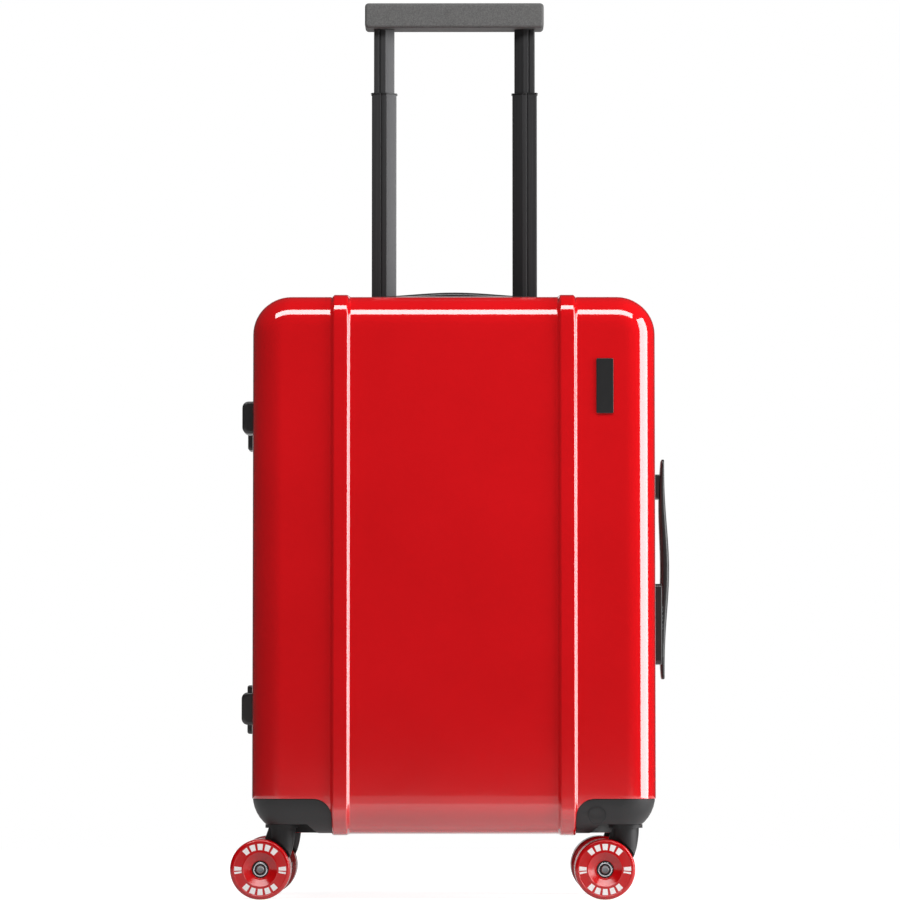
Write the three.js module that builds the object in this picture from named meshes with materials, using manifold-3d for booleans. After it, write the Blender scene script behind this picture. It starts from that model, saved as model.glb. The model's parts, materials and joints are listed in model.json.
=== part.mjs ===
// Cabin-size hard shell suitcase on four twin-wheel casters, with a two-stage trolley handle.
// Millimetres. X runs across the case, -Y is the side of the opening shell, +Z is up.
// The origin lies on the floor, under the middle of the case.
import * as THREE from 'three';
import { mergeVertices } from 'three/addons/utils/BufferGeometryUtils.js';
import Module from 'manifold-3d';

const wasm = await Module();
wasm.setup();

// ---- clearances ----
const GAP = 0.3;                    // between two pieces that touch
const REACH = 1000;                 // longer than anything that is cut

// ---- case ----
const CASE_WIDTH = 368.2;
const CASE_HEIGHT = 491;
const CASE_DEPTH = 230;
const CASE_ABOVE_WHEELS = 4.6;      // underside of the shells above the wheels
const CORNER_RADIUS = 35;           // corners of the big faces
const EDGE_RADIUS = 28;             // from the big faces round to the sides
const SHELL_WALL = 2.4;
const CORNER_STEPS = 4;
const EDGE_STEPS = 4;

const RIB_OFFSET = 103.4;             // rib centre from the middle of the case
const RIB_WIDTH = 16.5;
const RIB_HEIGHT_FACE = 3.3;
const RIB_HEIGHT_SIDE = 1.2;
const RIB_EDGE_RADIUS = 23;         // a rib rounds the edge more tightly than the case

// ---- zip and cloth hinge ----
const ZIP_HALF_WIDTH = 9;           // tape and teeth on each side of the seam
const ZIP_INSET = 0.5;
const ZIP_THICKNESS = 2.2;
const HINGE_LENGTH = 360;           // straight cloth strip at the left side
const SLIDER_LENGTH = 20;
const SLIDER_WIDTH = 11;
const SLIDER_HEIGHT = 4.5;
const SLIDER_SPACING = 22;

// ---- corner guards and caster seats ----
const GUARD_WIDTH = 73;             // along the bottom, from the side of the case
const GUARD_HEIGHT = 31.8;
const GUARD_TO_SEAM = 30;
const GUARD_CORNER = 16.5;
const GUARD_PROUD = -0.6;
const GUARD_LIP = 2;                // flange behind the shell's wall
const GUARD_LIP_WIDTH = 7;
const SEAT_RADIUS = 34;
const SEAT_RISE = 8.9;                // caster seat above the case's underside
const SEAT_WALL = 2.5;
const BOSS_RADIUS = 9;
const BOSS_HEIGHT = 20;

// ---- casters ----
const CASTER_INSET_X = 27.4;          // swivel axis from the side of the case
const CASTER_INSET_Y = 33;          // swivel axis from the big face
const CASTER_TRAIL = 19.3;          // wheel axle behind the swivel axis
const WHEEL_RADIUS = 27.5;
const WHEEL_WIDTH = 15;
const WHEEL_SPACING = 9;            // between the two wheels of one caster
const WHEEL_SHOULDER = 3;
const WHEEL_FACE_RADIUS = 16;       // where the hub's cone starts
const HUB_DEPTH = 4;
const WHEEL_STEPS = 24;
const BEARING_RADIUS = 7.4;
const BEARING_WIDTH = 7;
const AXLE_RADIUS = 3;
const BOLT_HEAD_RADIUS = 4.6;
const BOLT_HEAD_HEIGHT = 2.6;
const COLLAR_RADIUS = 15.3;
const COLLAR_HEIGHT = 3.2;
const POST_RADIUS = 4.5;
const POST_LENGTH = 16;
const NECK_RADIUS = 11.85;
const WEB_THICKNESS = 8;
const FORK_EYE_RADIUS = 5.6;
const WHEEL_CLEARANCE = 1.2;

// ---- trolley ----
const TUBE_SPACING = 134.1;
const TUBE_INSET_Y = 25;            // tube centre from the rear face
const UPPER_TUBE_WIDTH = 19.4;
const UPPER_TUBE_DEPTH = 13;
const TUBE_WALL = 1.6;
const TUBE_CLEARANCE = 0.35;
const TUBE_CHAMFER = 4;
const TUBE_END_CLEARANCE = 1.8;     // under a retracted tube
const MIDDLE_EXTENSION = 234;     // middle tube's top above the cup's floor
const UPPER_EXTENSION = 62;       // bar above the middle tube's top
const BAR_WIDTH = 170.6;
const BAR_HEIGHT = 23.8;
const BAR_DEPTH = 32;
const BAR_ROUND = 2;
const BUTTON_WIDTH = 46;
const BUTTON_DEPTH = 14;
const BUTTON_HEIGHT = 8;
const BUTTON_PROUD = 1;
const BUTTON_TRAVEL = 3;

const CUP_DEPTH = 23.5;             // cup floor below the top of the case
const CUP_CLEARANCE = 2.5;
const CUP_WALL = 2.2;
const CUP_PROUD = 1;
const BRACKET_COVER = 2.2;          // over the highest point of the shell under a tube
const BRACKET_OVERHANG = 9;

// ---- carrying handles ----
const HANDLE_LENGTH = 206.2;
const HANDLE_WIDTH = 24;
const SIDE_HANDLE_PROUD = 17.4;     // grip's highest point above the case
const TOP_HANDLE_PROUD = 15;
const HANDLE_THICKNESS = 8;
const HANDLE_DROOP = 4.4;             // tips below the middle of the grip
const HANDLE_TIP_THICKNESS = 2.8;
const MOUNT_LENGTH = 22.8;
const SIDE_MOUNT_INSET = 10.5;       // mount from the end of its base
const TOP_MOUNT_INSET = 3.5;
const SIDE_BASE_LENGTH = 198.8;
const BASE_TO_RIB = 2;              // top handle's base lies between the ribs
const HANDLE_BASE_THICKNESS = 1.4;
const HANDLE_STEPS = 12;
const HANDLE_TO_CUP = 15.3;         // between the top handle and the trolley cup

// ---- lock ----
const LOCK_LENGTH = 74.5;
const LOCK_WIDTH = 24;
const LOCK_PROUD = 8.2;
const LOCK_DROP = 53.2;             // lock centre below the middle of the case
const LOCK_TO_ZIP = 3.7;
const LOCK_ROUND = 4;
const DIAL_FLOOR = 0.8;             // under the dials, above the shell
const DIAL_WIDTH = 5;
const DIAL_PITCH = 8;
const DIAL_COUNT = 3;
const DIAL_PROUD = 1.4;
const DIAL_OFFSET = 6;              // middle dial above the lock's centre
const LOCK_BUTTON_LENGTH = 12;
const LOCK_BUTTON_WIDTH = 11;
const LOCK_BUTTON_HEIGHT = 4.5;
const LOCK_BUTTON_PROUD = 1.5;
const LOCK_BUTTON_OFFSET = -24;
const LOCK_BUTTON_TRAVEL = 1.2;

// ---- side feet and badge ----
const FOOT_PROUD = 10.5;
const FOOT_SPREAD = 133.5;          // foot centre above and below the middle of the four
const FOOT_RISE = 2;                // middle of the four feet above the middle of the case
const FRONT_FOOT_HEIGHT = 30;
const REAR_FOOT_HEIGHT = 46;
const FOOT_DEPTH = 30;
const FOOT_INSET_Y = 55;            // foot centre from the big face
const FRONT_FOOT_ROUND = 7;
const REAR_FOOT_ROUND = 2;
const BADGE_WIDTH = 15.5;
const BADGE_HEIGHT = 50;
const BADGE_THICKNESS = 1.2;
const BADGE_INSET_X = 46.6;         // badge centre from the side of the case
const BADGE_DROP = 83.7;            // badge centre below the top of the case

const PANEL_THICKNESS = 2;
const PANEL_INSET_Y = 14;           // divider from the seam

// ---- what follows from them ----
const CASE_BOTTOM = 2 * WHEEL_RADIUS + CASE_ABOVE_WHEELS;
const CASE_TOP = CASE_BOTTOM + CASE_HEIGHT;
const CASE_MIDDLE = CASE_BOTTOM + CASE_HEIGHT / 2;
const HALF_WIDTH = CASE_WIDTH / 2;
const HALF_DEPTH = CASE_DEPTH / 2;
const LIP_OFFSET = SHELL_WALL + GAP;
const SEAT_Z = CASE_BOTTOM + SEAT_RISE;
const CASTER_X = HALF_WIDTH - CASTER_INSET_X;
const CASTER_Y = HALF_DEPTH - CASTER_INSET_Y;
const MIDDLE_TUBE_GROWTH = TUBE_WALL + TUBE_CLEARANCE;
const OUTER_TUBE_GROWTH = 2 * MIDDLE_TUBE_GROWTH;
const CUP_FLOOR = CASE_TOP - CUP_DEPTH;
const TUBE_Y = HALF_DEPTH - TUBE_INSET_Y;
const TUBE_REAR = TUBE_Y + UPPER_TUBE_DEPTH / 2 + OUTER_TUBE_GROWTH;
const INNER_EDGE_RADIUS = EDGE_RADIUS - SHELL_WALL;
const TUBE_OVER_EDGE = Math.max(TUBE_REAR - (HALF_DEPTH - EDGE_RADIUS), 0);
const EDGE_RISE = INNER_EDGE_RADIUS - Math.sqrt(INNER_EDGE_RADIUS ** 2 - TUBE_OVER_EDGE ** 2);
const BRACKET_BOTTOM = CASE_BOTTOM + LIP_OFFSET;
const BRACKET_TOP = BRACKET_BOTTOM + EDGE_RISE + BRACKET_COVER;
const HANDLE_Y = TUBE_Y - BAR_DEPTH / 2 - CUP_CLEARANCE - CUP_WALL - HANDLE_TO_CUP - HANDLE_WIDTH / 2;
const LOCK_Y = -(ZIP_HALF_WIDTH + GAP + LOCK_TO_ZIP + LOCK_WIDTH / 2);
const FOOT_Y = HALF_DEPTH - FOOT_INSET_Y;
const FOOT_MIDDLE = CASE_MIDDLE + FOOT_RISE;
const TUBE_LENGTH = CUP_FLOOR - BRACKET_TOP - TUBE_END_CLEARANCE;
const MIDDLE_TOP = CUP_FLOOR + MIDDLE_EXTENSION;
const BAR_BOTTOM = MIDDLE_TOP + UPPER_EXTENSION;
const TOP_BASE_LENGTH = 2 * (RIB_OFFSET - RIB_WIDTH / 2 - BASE_TO_RIB);

// ---- finishes ----
const finish = (color, roughness, metalness = 0) =>
  new THREE.MeshStandardMaterial({ color, roughness, metalness });
const redPolycarbonate = finish(0xc8141a, 0.12);
const redUrethane = finish(0xcc0a0a, 0.15);
const blackNylon = finish(0x38383a, 0.55);
const blackPlastic = finish(0x1b1b1c, 0.4);
const darkAluminium = finish(0x4a4a4b, 0.4, 0.8);
const bearingSteel = finish(0xb9bcc0, 0.25, 1);
const zipTape = finish(0x151516, 0.9);
const liningCloth = finish(0x2b2b2e, 0.95);

// ---- making and joining solids ----
function solidOf(geometry) {
  const bare = geometry.index ? geometry.toNonIndexed() : geometry.clone();
  for (const name of Object.keys(bare.attributes)) {
    if (name !== 'position') bare.deleteAttribute(name);
  }
  const merged = mergeVertices(bare);
  return new wasm.Manifold(new wasm.Mesh({
    numProp: 3,
    vertProperties: new Float32Array(merged.attributes.position.array),
    triVerts: new Uint32Array(merged.index.array),
  }));
}

function geometryOf(solid) {
  const mesh = solid.getMesh();
  const geometry = new THREE.BufferGeometry();
  geometry.setAttribute('position', new THREE.BufferAttribute(mesh.vertProperties, mesh.numProp));
  geometry.setIndex(new THREE.BufferAttribute(mesh.triVerts, 1));
  return geometry;
}

function join(first, ...others) {
  return geometryOf(others.reduce((sum, item) => sum.add(solidOf(item)), solidOf(first)));
}

function cut(first, ...others) {
  return geometryOf(others.reduce((rest, item) => rest.subtract(solidOf(item)), solidOf(first)));
}

function common(first, ...others) {
  return geometryOf(others.reduce((rest, item) => rest.intersect(solidOf(item)), solidOf(first)));
}

// A box between two corners, given in any order.
function block(x0, x1, y0, y1, z0, z1) {
  return new THREE.BoxGeometry(Math.abs(x1 - x0), Math.abs(y1 - y0), Math.abs(z1 - z0))
    .translate((x0 + x1) / 2, (y0 + y1) / 2, (z0 + z1) / 2);
}

function uprightCylinder(radius, z0, z1, x, y, steps) {
  return new THREE.CylinderGeometry(radius, radius, z1 - z0, steps)
    .rotateX(Math.PI / 2)
    .translate(x, y, (z0 + z1) / 2);
}

function crosswiseCylinder(radius, y0, y1, x, z, steps) {
  return new THREE.CylinderGeometry(radius, radius, y1 - y0, steps).translate(x, (y0 + y1) / 2, z);
}

// A rectangle with rounded corners, as points round its edge, counter-clockwise.
function roundedRectangle(halfWidth, halfHeight, radius, steps = CORNER_STEPS) {
  const points = [];
  const corners = [[1, 1], [-1, 1], [-1, -1], [1, -1]];
  corners.forEach(([sideX, sideZ], corner) => {
    for (let step = 0; step <= steps; step += 1) {
      const angle = (corner + step / steps) * Math.PI / 2;
      points.push(new THREE.Vector2(
        sideX * (halfWidth - radius) + radius * Math.cos(angle),
        sideZ * (halfHeight - radius) + radius * Math.sin(angle),
      ));
    }
  });
  return points;
}

// A solid through rings of equally many points, which lie one behind the other along +Y.
function loftAlongY(rings) {
  const count = rings[0].points.length;
  const positions = rings.flatMap(({ points, y }) => points.flatMap((point) => [point.x, y, point.y]));
  const index = [];
  for (let ring = 0; ring + 1 < rings.length; ring += 1) {
    for (let point = 0; point < count; point += 1) {
      const a = ring * count + point;
      const b = ring * count + (point + 1) % count;
      index.push(a, a + count, b, b, a + count, b + count);
    }
  }
  const last = (rings.length - 1) * count;
  for (let point = 1; point + 1 < count; point += 1) {
    index.push(0, point, point + 1);
    index.push(last, last + point + 1, last + point);
  }
  const geometry = new THREE.BufferGeometry();
  geometry.setAttribute('position', new THREE.Float32BufferAttribute(positions, 3));
  geometry.setIndex(index);
  return geometry;
}

// A bar with the given outline in X and Y, from z0 up to z1.
function uprightBar(shape, z0, z1) {
  return new THREE.ExtrudeGeometry(shape, { depth: z1 - z0, bevelEnabled: false })
    .translate(0, 0, z0);
}

// A plate with the given outline in X and Z, from y0 back to y1.
function crosswisePlate(points, y0, y1) {
  return new THREE.ExtrudeGeometry(new THREE.Shape(points), { depth: y1 - y0, bevelEnabled: false })
    .rotateX(Math.PI / 2)
    .translate(0, y1, 0);
}

// A round piece about an axis along Y: its profile is closed, as [radius, y] pairs.
function turned(profile, steps, x, y, z) {
  const points = [...profile, profile[0]].map(([radius, along]) => new THREE.Vector2(radius, along));
  return new THREE.LatheGeometry(points, steps, Math.PI / steps).translate(x, y, z);
}

// ---- the case's rounded body, grown or shrunk from its outer surface ----
function caseBody(growSides, growFaces, edge = EDGE_RADIUS + growSides) {
  const corner = CORNER_RADIUS + growSides;
  const face = HALF_DEPTH + growFaces;
  const frontHalf = [];
  for (let step = 0; step <= EDGE_STEPS; step += 1) {
    const angle = step / EDGE_STEPS * Math.PI / 2;
    const inset = edge * (1 - Math.sin(angle));
    const outline = roundedRectangle(
      HALF_WIDTH + growSides - inset,
      CASE_HEIGHT / 2 + growSides - inset,
      Math.max(corner - inset, 1),
    );
    frontHalf.push({ points: outline, y: edge * (1 - Math.cos(angle)) - face });
  }
  const rearHalf = frontHalf.map(({ points, y }) => ({ points, y: -y })).reverse();
  return loftAlongY([...frontHalf, ...rearHalf]).translate(0, 0, CASE_MIDDLE);
}

function guardRegion(sideX, sideY, growth) {
  const inner = HALF_WIDTH - GUARD_WIDTH - growth;
  const top = CASE_BOTTOM + GUARD_HEIGHT + growth;
  const radius = GUARD_CORNER + growth;
  const points = [new THREE.Vector2(sideX * inner, CASE_BOTTOM - SEAT_RADIUS)];
  for (let step = 0; step <= CORNER_STEPS; step += 1) {
    const angle = step / CORNER_STEPS * Math.PI / 2;
    points.push(new THREE.Vector2(
      sideX * (inner + radius * (1 - Math.cos(angle))),
      top - radius * (1 - Math.sin(angle)),
    ));
  }
  points.push(new THREE.Vector2(sideX * CASE_WIDTH, top));
  points.push(new THREE.Vector2(sideX * CASE_WIDTH, CASE_BOTTOM - SEAT_RADIUS));
  const ends = [sideY * CASE_DEPTH, sideY * (GUARD_TO_SEAM - growth)];
  return crosswisePlate(points, Math.min(...ends), Math.max(...ends));
}

function cupBlock(growth, zLow) {
  const halfWidth = BAR_WIDTH / 2 + CUP_CLEARANCE + growth;
  const halfDepth = BAR_DEPTH / 2 + CUP_CLEARANCE + growth;
  return block(-halfWidth, halfWidth, TUBE_Y - halfDepth, TUBE_Y + halfDepth, zLow, REACH);
}

// ---- shells ----
function shell(sideY) {
  const ribbed = [-1, 1].map((sideX) => common(
    caseBody(RIB_HEIGHT_SIDE, RIB_HEIGHT_FACE, RIB_EDGE_RADIUS),
    block(sideX * RIB_OFFSET - RIB_WIDTH / 2, sideX * RIB_OFFSET + RIB_WIDTH / 2, -REACH, REACH, -REACH, REACH),
  ));
  const half = block(-REACH, REACH, sideY * (ZIP_HALF_WIDTH + GAP), sideY * REACH, -REACH, REACH);
  const windows = [-1, 1].map((sideX) => guardRegion(sideX, sideY, GAP));
  if (sideY > 0) windows.push(cupBlock(CUP_WALL + GAP, CUP_FLOOR - CUP_WALL - GAP));
  const outside = common(join(caseBody(0, 0), ...ribbed), half);
  return cut(outside, caseBody(-SHELL_WALL, -SHELL_WALL), ...windows);
}

function zipHalf(sideY) {
  const ring = cut(
    caseBody(-ZIP_INSET, 0),
    caseBody(-ZIP_INSET - ZIP_THICKNESS, ZIP_THICKNESS),
  );
  const strip = block(-REACH, REACH, sideY * GAP / 2, sideY * ZIP_HALF_WIDTH, -REACH, REACH);
  return cut(common(ring, strip), hingeSpace(GAP));
}

// The straight stretch of the left side that the cloth hinge fills.
function hingeSpace(growth) {
  const half = HINGE_LENGTH / 2 + growth;
  return block(-HALF_WIDTH - REACH, -HALF_WIDTH + CORNER_RADIUS, -REACH, REACH, CASE_MIDDLE - half, CASE_MIDDLE + half);
}

function hingeGusset() {
  const half = HINGE_LENGTH / 2;
  const outside = -HALF_WIDTH + ZIP_INSET;
  return block(
    outside, outside + ZIP_THICKNESS, -ZIP_HALF_WIDTH, ZIP_HALF_WIDTH, CASE_MIDDLE - half, CASE_MIDDLE + half,
  );
}

function zipSlider() {
  const outline = roundedRectangle(SLIDER_WIDTH / 2, SLIDER_LENGTH / 2, SLIDER_WIDTH / 2.5, 2);
  return crosswisePlate(outline, 0, SLIDER_HEIGHT).rotateZ(-Math.PI / 2);
}

function dividerPanel() {
  const inset = SHELL_WALL + GAP;
  const outline = roundedRectangle(HALF_WIDTH - inset, CASE_HEIGHT / 2 - inset, CORNER_RADIUS - inset);
  return crosswisePlate(outline, -PANEL_INSET_Y - PANEL_THICKNESS, -PANEL_INSET_Y)
    .translate(0, 0, CASE_MIDDLE);
}

// ---- corner guard: skin over the cut-out corner, flange behind the shell, caster seat and boss ----
function cornerGuard(sideX, sideY) {
  const x = sideX * CASTER_X;
  const y = sideY * CASTER_Y;
  const outside = common(caseBody(GUARD_PROUD, GUARD_PROUD), guardRegion(sideX, sideY, 0));
  const inside = caseBody(-LIP_OFFSET - GUARD_LIP, -LIP_OFFSET - GUARD_LIP);
  const lip = common(caseBody(-LIP_OFFSET, -LIP_OFFSET), guardRegion(sideX, sideY, GUARD_LIP_WIDTH));
  const skin = cut(join(outside, lip), inside);
  const seatBlock = uprightCylinder(SEAT_RADIUS + SEAT_WALL, 0, SEAT_Z + SEAT_WALL, x, y, WHEEL_STEPS);
  const boss = uprightCylinder(BOSS_RADIUS, SEAT_Z, SEAT_Z + BOSS_HEIGHT, x, y, 12);
  const pocket = uprightCylinder(SEAT_RADIUS, 0, SEAT_Z, x, y, WHEEL_STEPS);
  const postHole = uprightCylinder(POST_RADIUS + GAP, 0, SEAT_Z + POST_LENGTH + GAP, x, y, 12);
  return cut(join(skin, common(outside, seatBlock), boss), pocket, postHole);
}

// ---- casters, placed about the swivel axis, with the wheels trailing towards -X ----
const AXLE_Z = WHEEL_RADIUS;
const WHEEL_Y = (WHEEL_SPACING + WHEEL_WIDTH) / 2;
const HUB_FLOOR = WHEEL_Y + WHEEL_WIDTH / 2 - HUB_DEPTH;
const BEARING_Y = HUB_FLOOR - BEARING_WIDTH / 2 - GAP;

function casterFork() {
  const collarTop = SEAT_Z - GAP;
  const collarBottom = collarTop - COLLAR_HEIGHT;
  const tipZ = AXLE_Z + FORK_EYE_RADIUS * 2;
  const fin = new THREE.Shape();
  fin.moveTo(-NECK_RADIUS, collarBottom);
  fin.lineTo(NECK_RADIUS, collarBottom);
  fin.quadraticCurveTo(NECK_RADIUS, (collarBottom + tipZ) / 2, NECK_RADIUS / 2, tipZ);
  fin.quadraticCurveTo(0, AXLE_Z, -CASTER_TRAIL, AXLE_Z - FORK_EYE_RADIUS);
  fin.lineTo(-CASTER_TRAIL - FORK_EYE_RADIUS, AXLE_Z);
  fin.closePath();
  const finPoints = fin.getPoints(4);
  const web = crosswisePlate(finPoints, -WEB_THICKNESS / 2, WEB_THICKNESS / 2);
  const neckBlock = common(
    crosswisePlate(finPoints, -NECK_RADIUS, NECK_RADIUS),
    uprightCylinder(NECK_RADIUS, 0, collarBottom, 0, 0, 16),
  );
  const wheelSpace = crosswiseCylinder(
    WHEEL_RADIUS + WHEEL_CLEARANCE, -NECK_RADIUS * 2, NECK_RADIUS * 2, -CASTER_TRAIL, AXLE_Z, WHEEL_STEPS,
  );
  const eyeEnd = BEARING_Y - BEARING_WIDTH / 2 - GAP;
  const eye = crosswiseCylinder(FORK_EYE_RADIUS, -eyeEnd, eyeEnd, -CASTER_TRAIL, AXLE_Z, 12);
  const axleHole = crosswiseCylinder(AXLE_RADIUS + GAP, -REACH, REACH, -CASTER_TRAIL, AXLE_Z, 12);
  return cut(
    join(
      cut(neckBlock, wheelSpace),
      web,
      eye,
      uprightCylinder(COLLAR_RADIUS, collarBottom, collarTop, 0, 0, 16),
      uprightCylinder(POST_RADIUS, collarBottom, SEAT_Z + POST_LENGTH, 0, 0, 12),
    ),
    axleHole,
  );
}

function casterWheel(sideY) {
  const half = WHEEL_WIDTH / 2;
  const bore = BEARING_RADIUS + GAP;
  const hub = half - HUB_DEPTH;
  const shoulder = WHEEL_RADIUS - WHEEL_SHOULDER;
  const profile = [
    [bore, -half], [shoulder, -half], [WHEEL_RADIUS, WHEEL_SHOULDER - half],
    [WHEEL_RADIUS, half - WHEEL_SHOULDER], [shoulder, half], [WHEEL_FACE_RADIUS, half], [bore, hub],
  ];
  const wheel = turned(profile, WHEEL_STEPS, 0, 0, 0);
  return (sideY < 0 ? wheel.rotateZ(Math.PI) : wheel)
    .translate(-CASTER_TRAIL, sideY * WHEEL_Y, AXLE_Z);
}

function wheelBearing(sideY) {
  const half = BEARING_WIDTH / 2;
  const bore = AXLE_RADIUS + GAP;
  const profile = [[bore, -half], [BEARING_RADIUS, -half], [BEARING_RADIUS, half], [bore, half]];
  return turned(profile, 12, -CASTER_TRAIL, sideY * BEARING_Y, AXLE_Z);
}

function casterAxle() {
  const seat = BEARING_Y + BEARING_WIDTH / 2 + GAP;
  const head = seat + BOLT_HEAD_HEIGHT;
  const outline = [
    [0, -head], [BOLT_HEAD_RADIUS, -head], [BOLT_HEAD_RADIUS, -seat], [AXLE_RADIUS, -seat],
    [AXLE_RADIUS, seat], [BOLT_HEAD_RADIUS, seat], [BOLT_HEAD_RADIUS, head], [0, head],
  ].map(([radius, along]) => new THREE.Vector2(radius, along));
  return new THREE.LatheGeometry(outline, 12, Math.PI / 12).translate(-CASTER_TRAIL, 0, AXLE_Z);
}

// ---- trolley ----
function tubeOutline(side, growth) {
  const halfWidth = UPPER_TUBE_WIDTH / 2 + growth;
  const halfDepth = UPPER_TUBE_DEPTH / 2 + growth;
  const cornerGrowth = growth * (2 - Math.SQRT2);
  const plain = TUBE_CHAMFER / 2 + cornerGrowth;
  const slanted = TUBE_CHAMFER + cornerGrowth;
  const points = [
    [-halfWidth, slanted - halfDepth], [slanted - halfWidth, -halfDepth],
    [halfWidth - plain, -halfDepth], [halfWidth, plain - halfDepth],
    [halfWidth, halfDepth - plain], [halfWidth - plain, halfDepth],
    [plain - halfWidth, halfDepth], [-halfWidth, halfDepth - plain],
  ];
  const placed = points.map(([x, y]) => new THREE.Vector2(side * (TUBE_SPACING / 2 + x), TUBE_Y + y));
  return side < 0 ? placed.reverse() : placed;
}

function tube(side, growth, z0, z1) {
  const shape = new THREE.Shape(tubeOutline(side, growth));
  shape.holes.push(new THREE.Path(tubeOutline(side, growth - TUBE_WALL)));
  return uprightBar(shape, z0, z1);
}

function trolleyGrip() {
  const outline = roundedRectangle(BAR_WIDTH / 2, BAR_HEIGHT / 2, BAR_ROUND, 2);
  const bar = crosswisePlate(outline, TUBE_Y - BAR_DEPTH / 2, TUBE_Y + BAR_DEPTH / 2)
    .translate(0, 0, BAR_BOTTOM + BAR_HEIGHT / 2);
  return cut(bar, buttonBlock(GAP, BUTTON_TRAVEL + GAP));
}

function buttonBlock(growth, below) {
  const top = BAR_BOTTOM + BAR_HEIGHT + BUTTON_PROUD;
  const halfWidth = BUTTON_WIDTH / 2 + growth;
  const halfDepth = BUTTON_DEPTH / 2 + growth;
  return block(
    -halfWidth, halfWidth, TUBE_Y - halfDepth, TUBE_Y + halfDepth, top - BUTTON_HEIGHT - below, top,
  );
}

function trolleyCup() {
  const tray = common(caseBody(CUP_PROUD, CUP_PROUD), cupBlock(CUP_WALL, CUP_FLOOR - CUP_WALL));
  const holes = [-1, 1].map((side) => uprightBar(
    new THREE.Shape(tubeOutline(side, MIDDLE_TUBE_GROWTH + TUBE_CLEARANCE)), 0, REACH,
  ));
  return cut(tray, cupBlock(0, CUP_FLOOR), ...holes);
}

function footBracket() {
  const halfWidth = (TUBE_SPACING + UPPER_TUBE_WIDTH) / 2 + OUTER_TUBE_GROWTH + BRACKET_OVERHANG;
  const halfDepth = UPPER_TUBE_DEPTH / 2 + OUTER_TUBE_GROWTH;
  const plate = block(
    -halfWidth, halfWidth, TUBE_Y - halfDepth, TUBE_Y + halfDepth, BRACKET_BOTTOM, BRACKET_TOP,
  );
  return common(plate, caseBody(-LIP_OFFSET, -LIP_OFFSET));
}

// ---- carrying handles, lying along X on a surface at z = 0 ----
function gripOuter(proud, along) {
  const bend = Math.cos(along / HANDLE_LENGTH * Math.PI);
  return proud - HANDLE_DROOP * (1 - bend ** 3);
}

function gripInner(proud, along) {
  const bend = Math.cos(along / HANDLE_LENGTH * Math.PI);
  const thickness = HANDLE_TIP_THICKNESS + (HANDLE_THICKNESS - HANDLE_TIP_THICKNESS) * bend;
  return gripOuter(proud, along) - thickness;
}

function handleGrip(proud) {
  const stations = Array.from({ length: HANDLE_STEPS + 1 }, (_, step) => (step / HANDLE_STEPS - 0.5) * HANDLE_LENGTH);
  const lower = stations.map((along) => new THREE.Vector2(along, gripInner(proud, along)));
  const upper = stations.map((along) => new THREE.Vector2(along, gripOuter(proud, along))).reverse();
  return crosswisePlate([...lower, ...upper], -HANDLE_WIDTH / 2, HANDLE_WIDTH / 2);
}

function handleBase(proud, length, mountInset) {
  const mountOut = length / 2 - mountInset;
  const mountIn = mountOut - MOUNT_LENGTH;
  const mountTop = Math.min(gripInner(proud, mountIn), gripInner(proud, mountOut)) - GAP;
  const half = HANDLE_WIDTH / 2;
  const strip = block(-length / 2, length / 2, -half, half, GAP, HANDLE_BASE_THICKNESS);
  const mounts = [-1, 1].map((side) => block(
    side * mountIn, side * mountOut, -half, half, GAP, mountTop,
  ));
  return join(strip, ...mounts);
}

// ---- lock, lying on a surface at x = 0 and centred on the origin ----
const DIAL_RADIUS = (LOCK_PROUD + DIAL_PROUD - DIAL_FLOOR) / 2;
const DIAL_CENTRE = DIAL_FLOOR + DIAL_RADIUS;
const dialHeight = (number) => DIAL_OFFSET + (number - (DIAL_COUNT - 1) / 2) * DIAL_PITCH;

function lockBody() {
  const outline = roundedRectangle(LOCK_WIDTH / 2, LOCK_LENGTH / 2, LOCK_ROUND, 2);
  const body = crosswisePlate(outline, GAP, LOCK_PROUD).rotateZ(-Math.PI / 2);
  const slots = Array.from({ length: DIAL_COUNT }, (_, number) => block(
    -LOCK_PROUD, LOCK_PROUD * 2, -DIAL_RADIUS - GAP, DIAL_RADIUS + GAP,
    dialHeight(number) - DIAL_WIDTH / 2 - GAP, dialHeight(number) + DIAL_WIDTH / 2 + GAP,
  ));
  return cut(body, ...slots, lockButtonBlock(GAP, LOCK_BUTTON_TRAVEL + GAP));
}

function lockButtonBlock(growth, below) {
  const top = LOCK_PROUD + LOCK_BUTTON_PROUD;
  const halfWidth = LOCK_BUTTON_WIDTH / 2 + growth;
  const halfLength = LOCK_BUTTON_LENGTH / 2 + growth;
  return block(
    top - LOCK_BUTTON_HEIGHT - below, top, -halfWidth, halfWidth,
    LOCK_BUTTON_OFFSET - halfLength, LOCK_BUTTON_OFFSET + halfLength,
  );
}

function lockDial() {
  return new THREE.CylinderGeometry(DIAL_RADIUS, DIAL_RADIUS, DIAL_WIDTH, 10).rotateX(Math.PI / 2);
}

// ---- side foot, standing out towards -X from a surface at x = 0 ----
function sideFoot(height, round) {
  const outline = roundedRectangle(FOOT_PROUD, height / 2, round, 2)
    .filter((point) => point.x < 0)
    .map((point) => new THREE.Vector2(point.x, point.y));
  const closed = [new THREE.Vector2(-GAP, height / 2), ...outline, new THREE.Vector2(-GAP, -height / 2)];
  return crosswisePlate(closed, -FOOT_DEPTH / 2, FOOT_DEPTH / 2);
}

// ---- assembly ----
const suitcase = new THREE.Group();

function place(name, geometry, material, x = 0, y = 0, z = 0, parent = suitcase) {
  const mesh = new THREE.Mesh(geometry, material);
  mesh.name = name;
  mesh.position.set(x, y, z);
  parent.add(mesh);
  return mesh;
}

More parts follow.
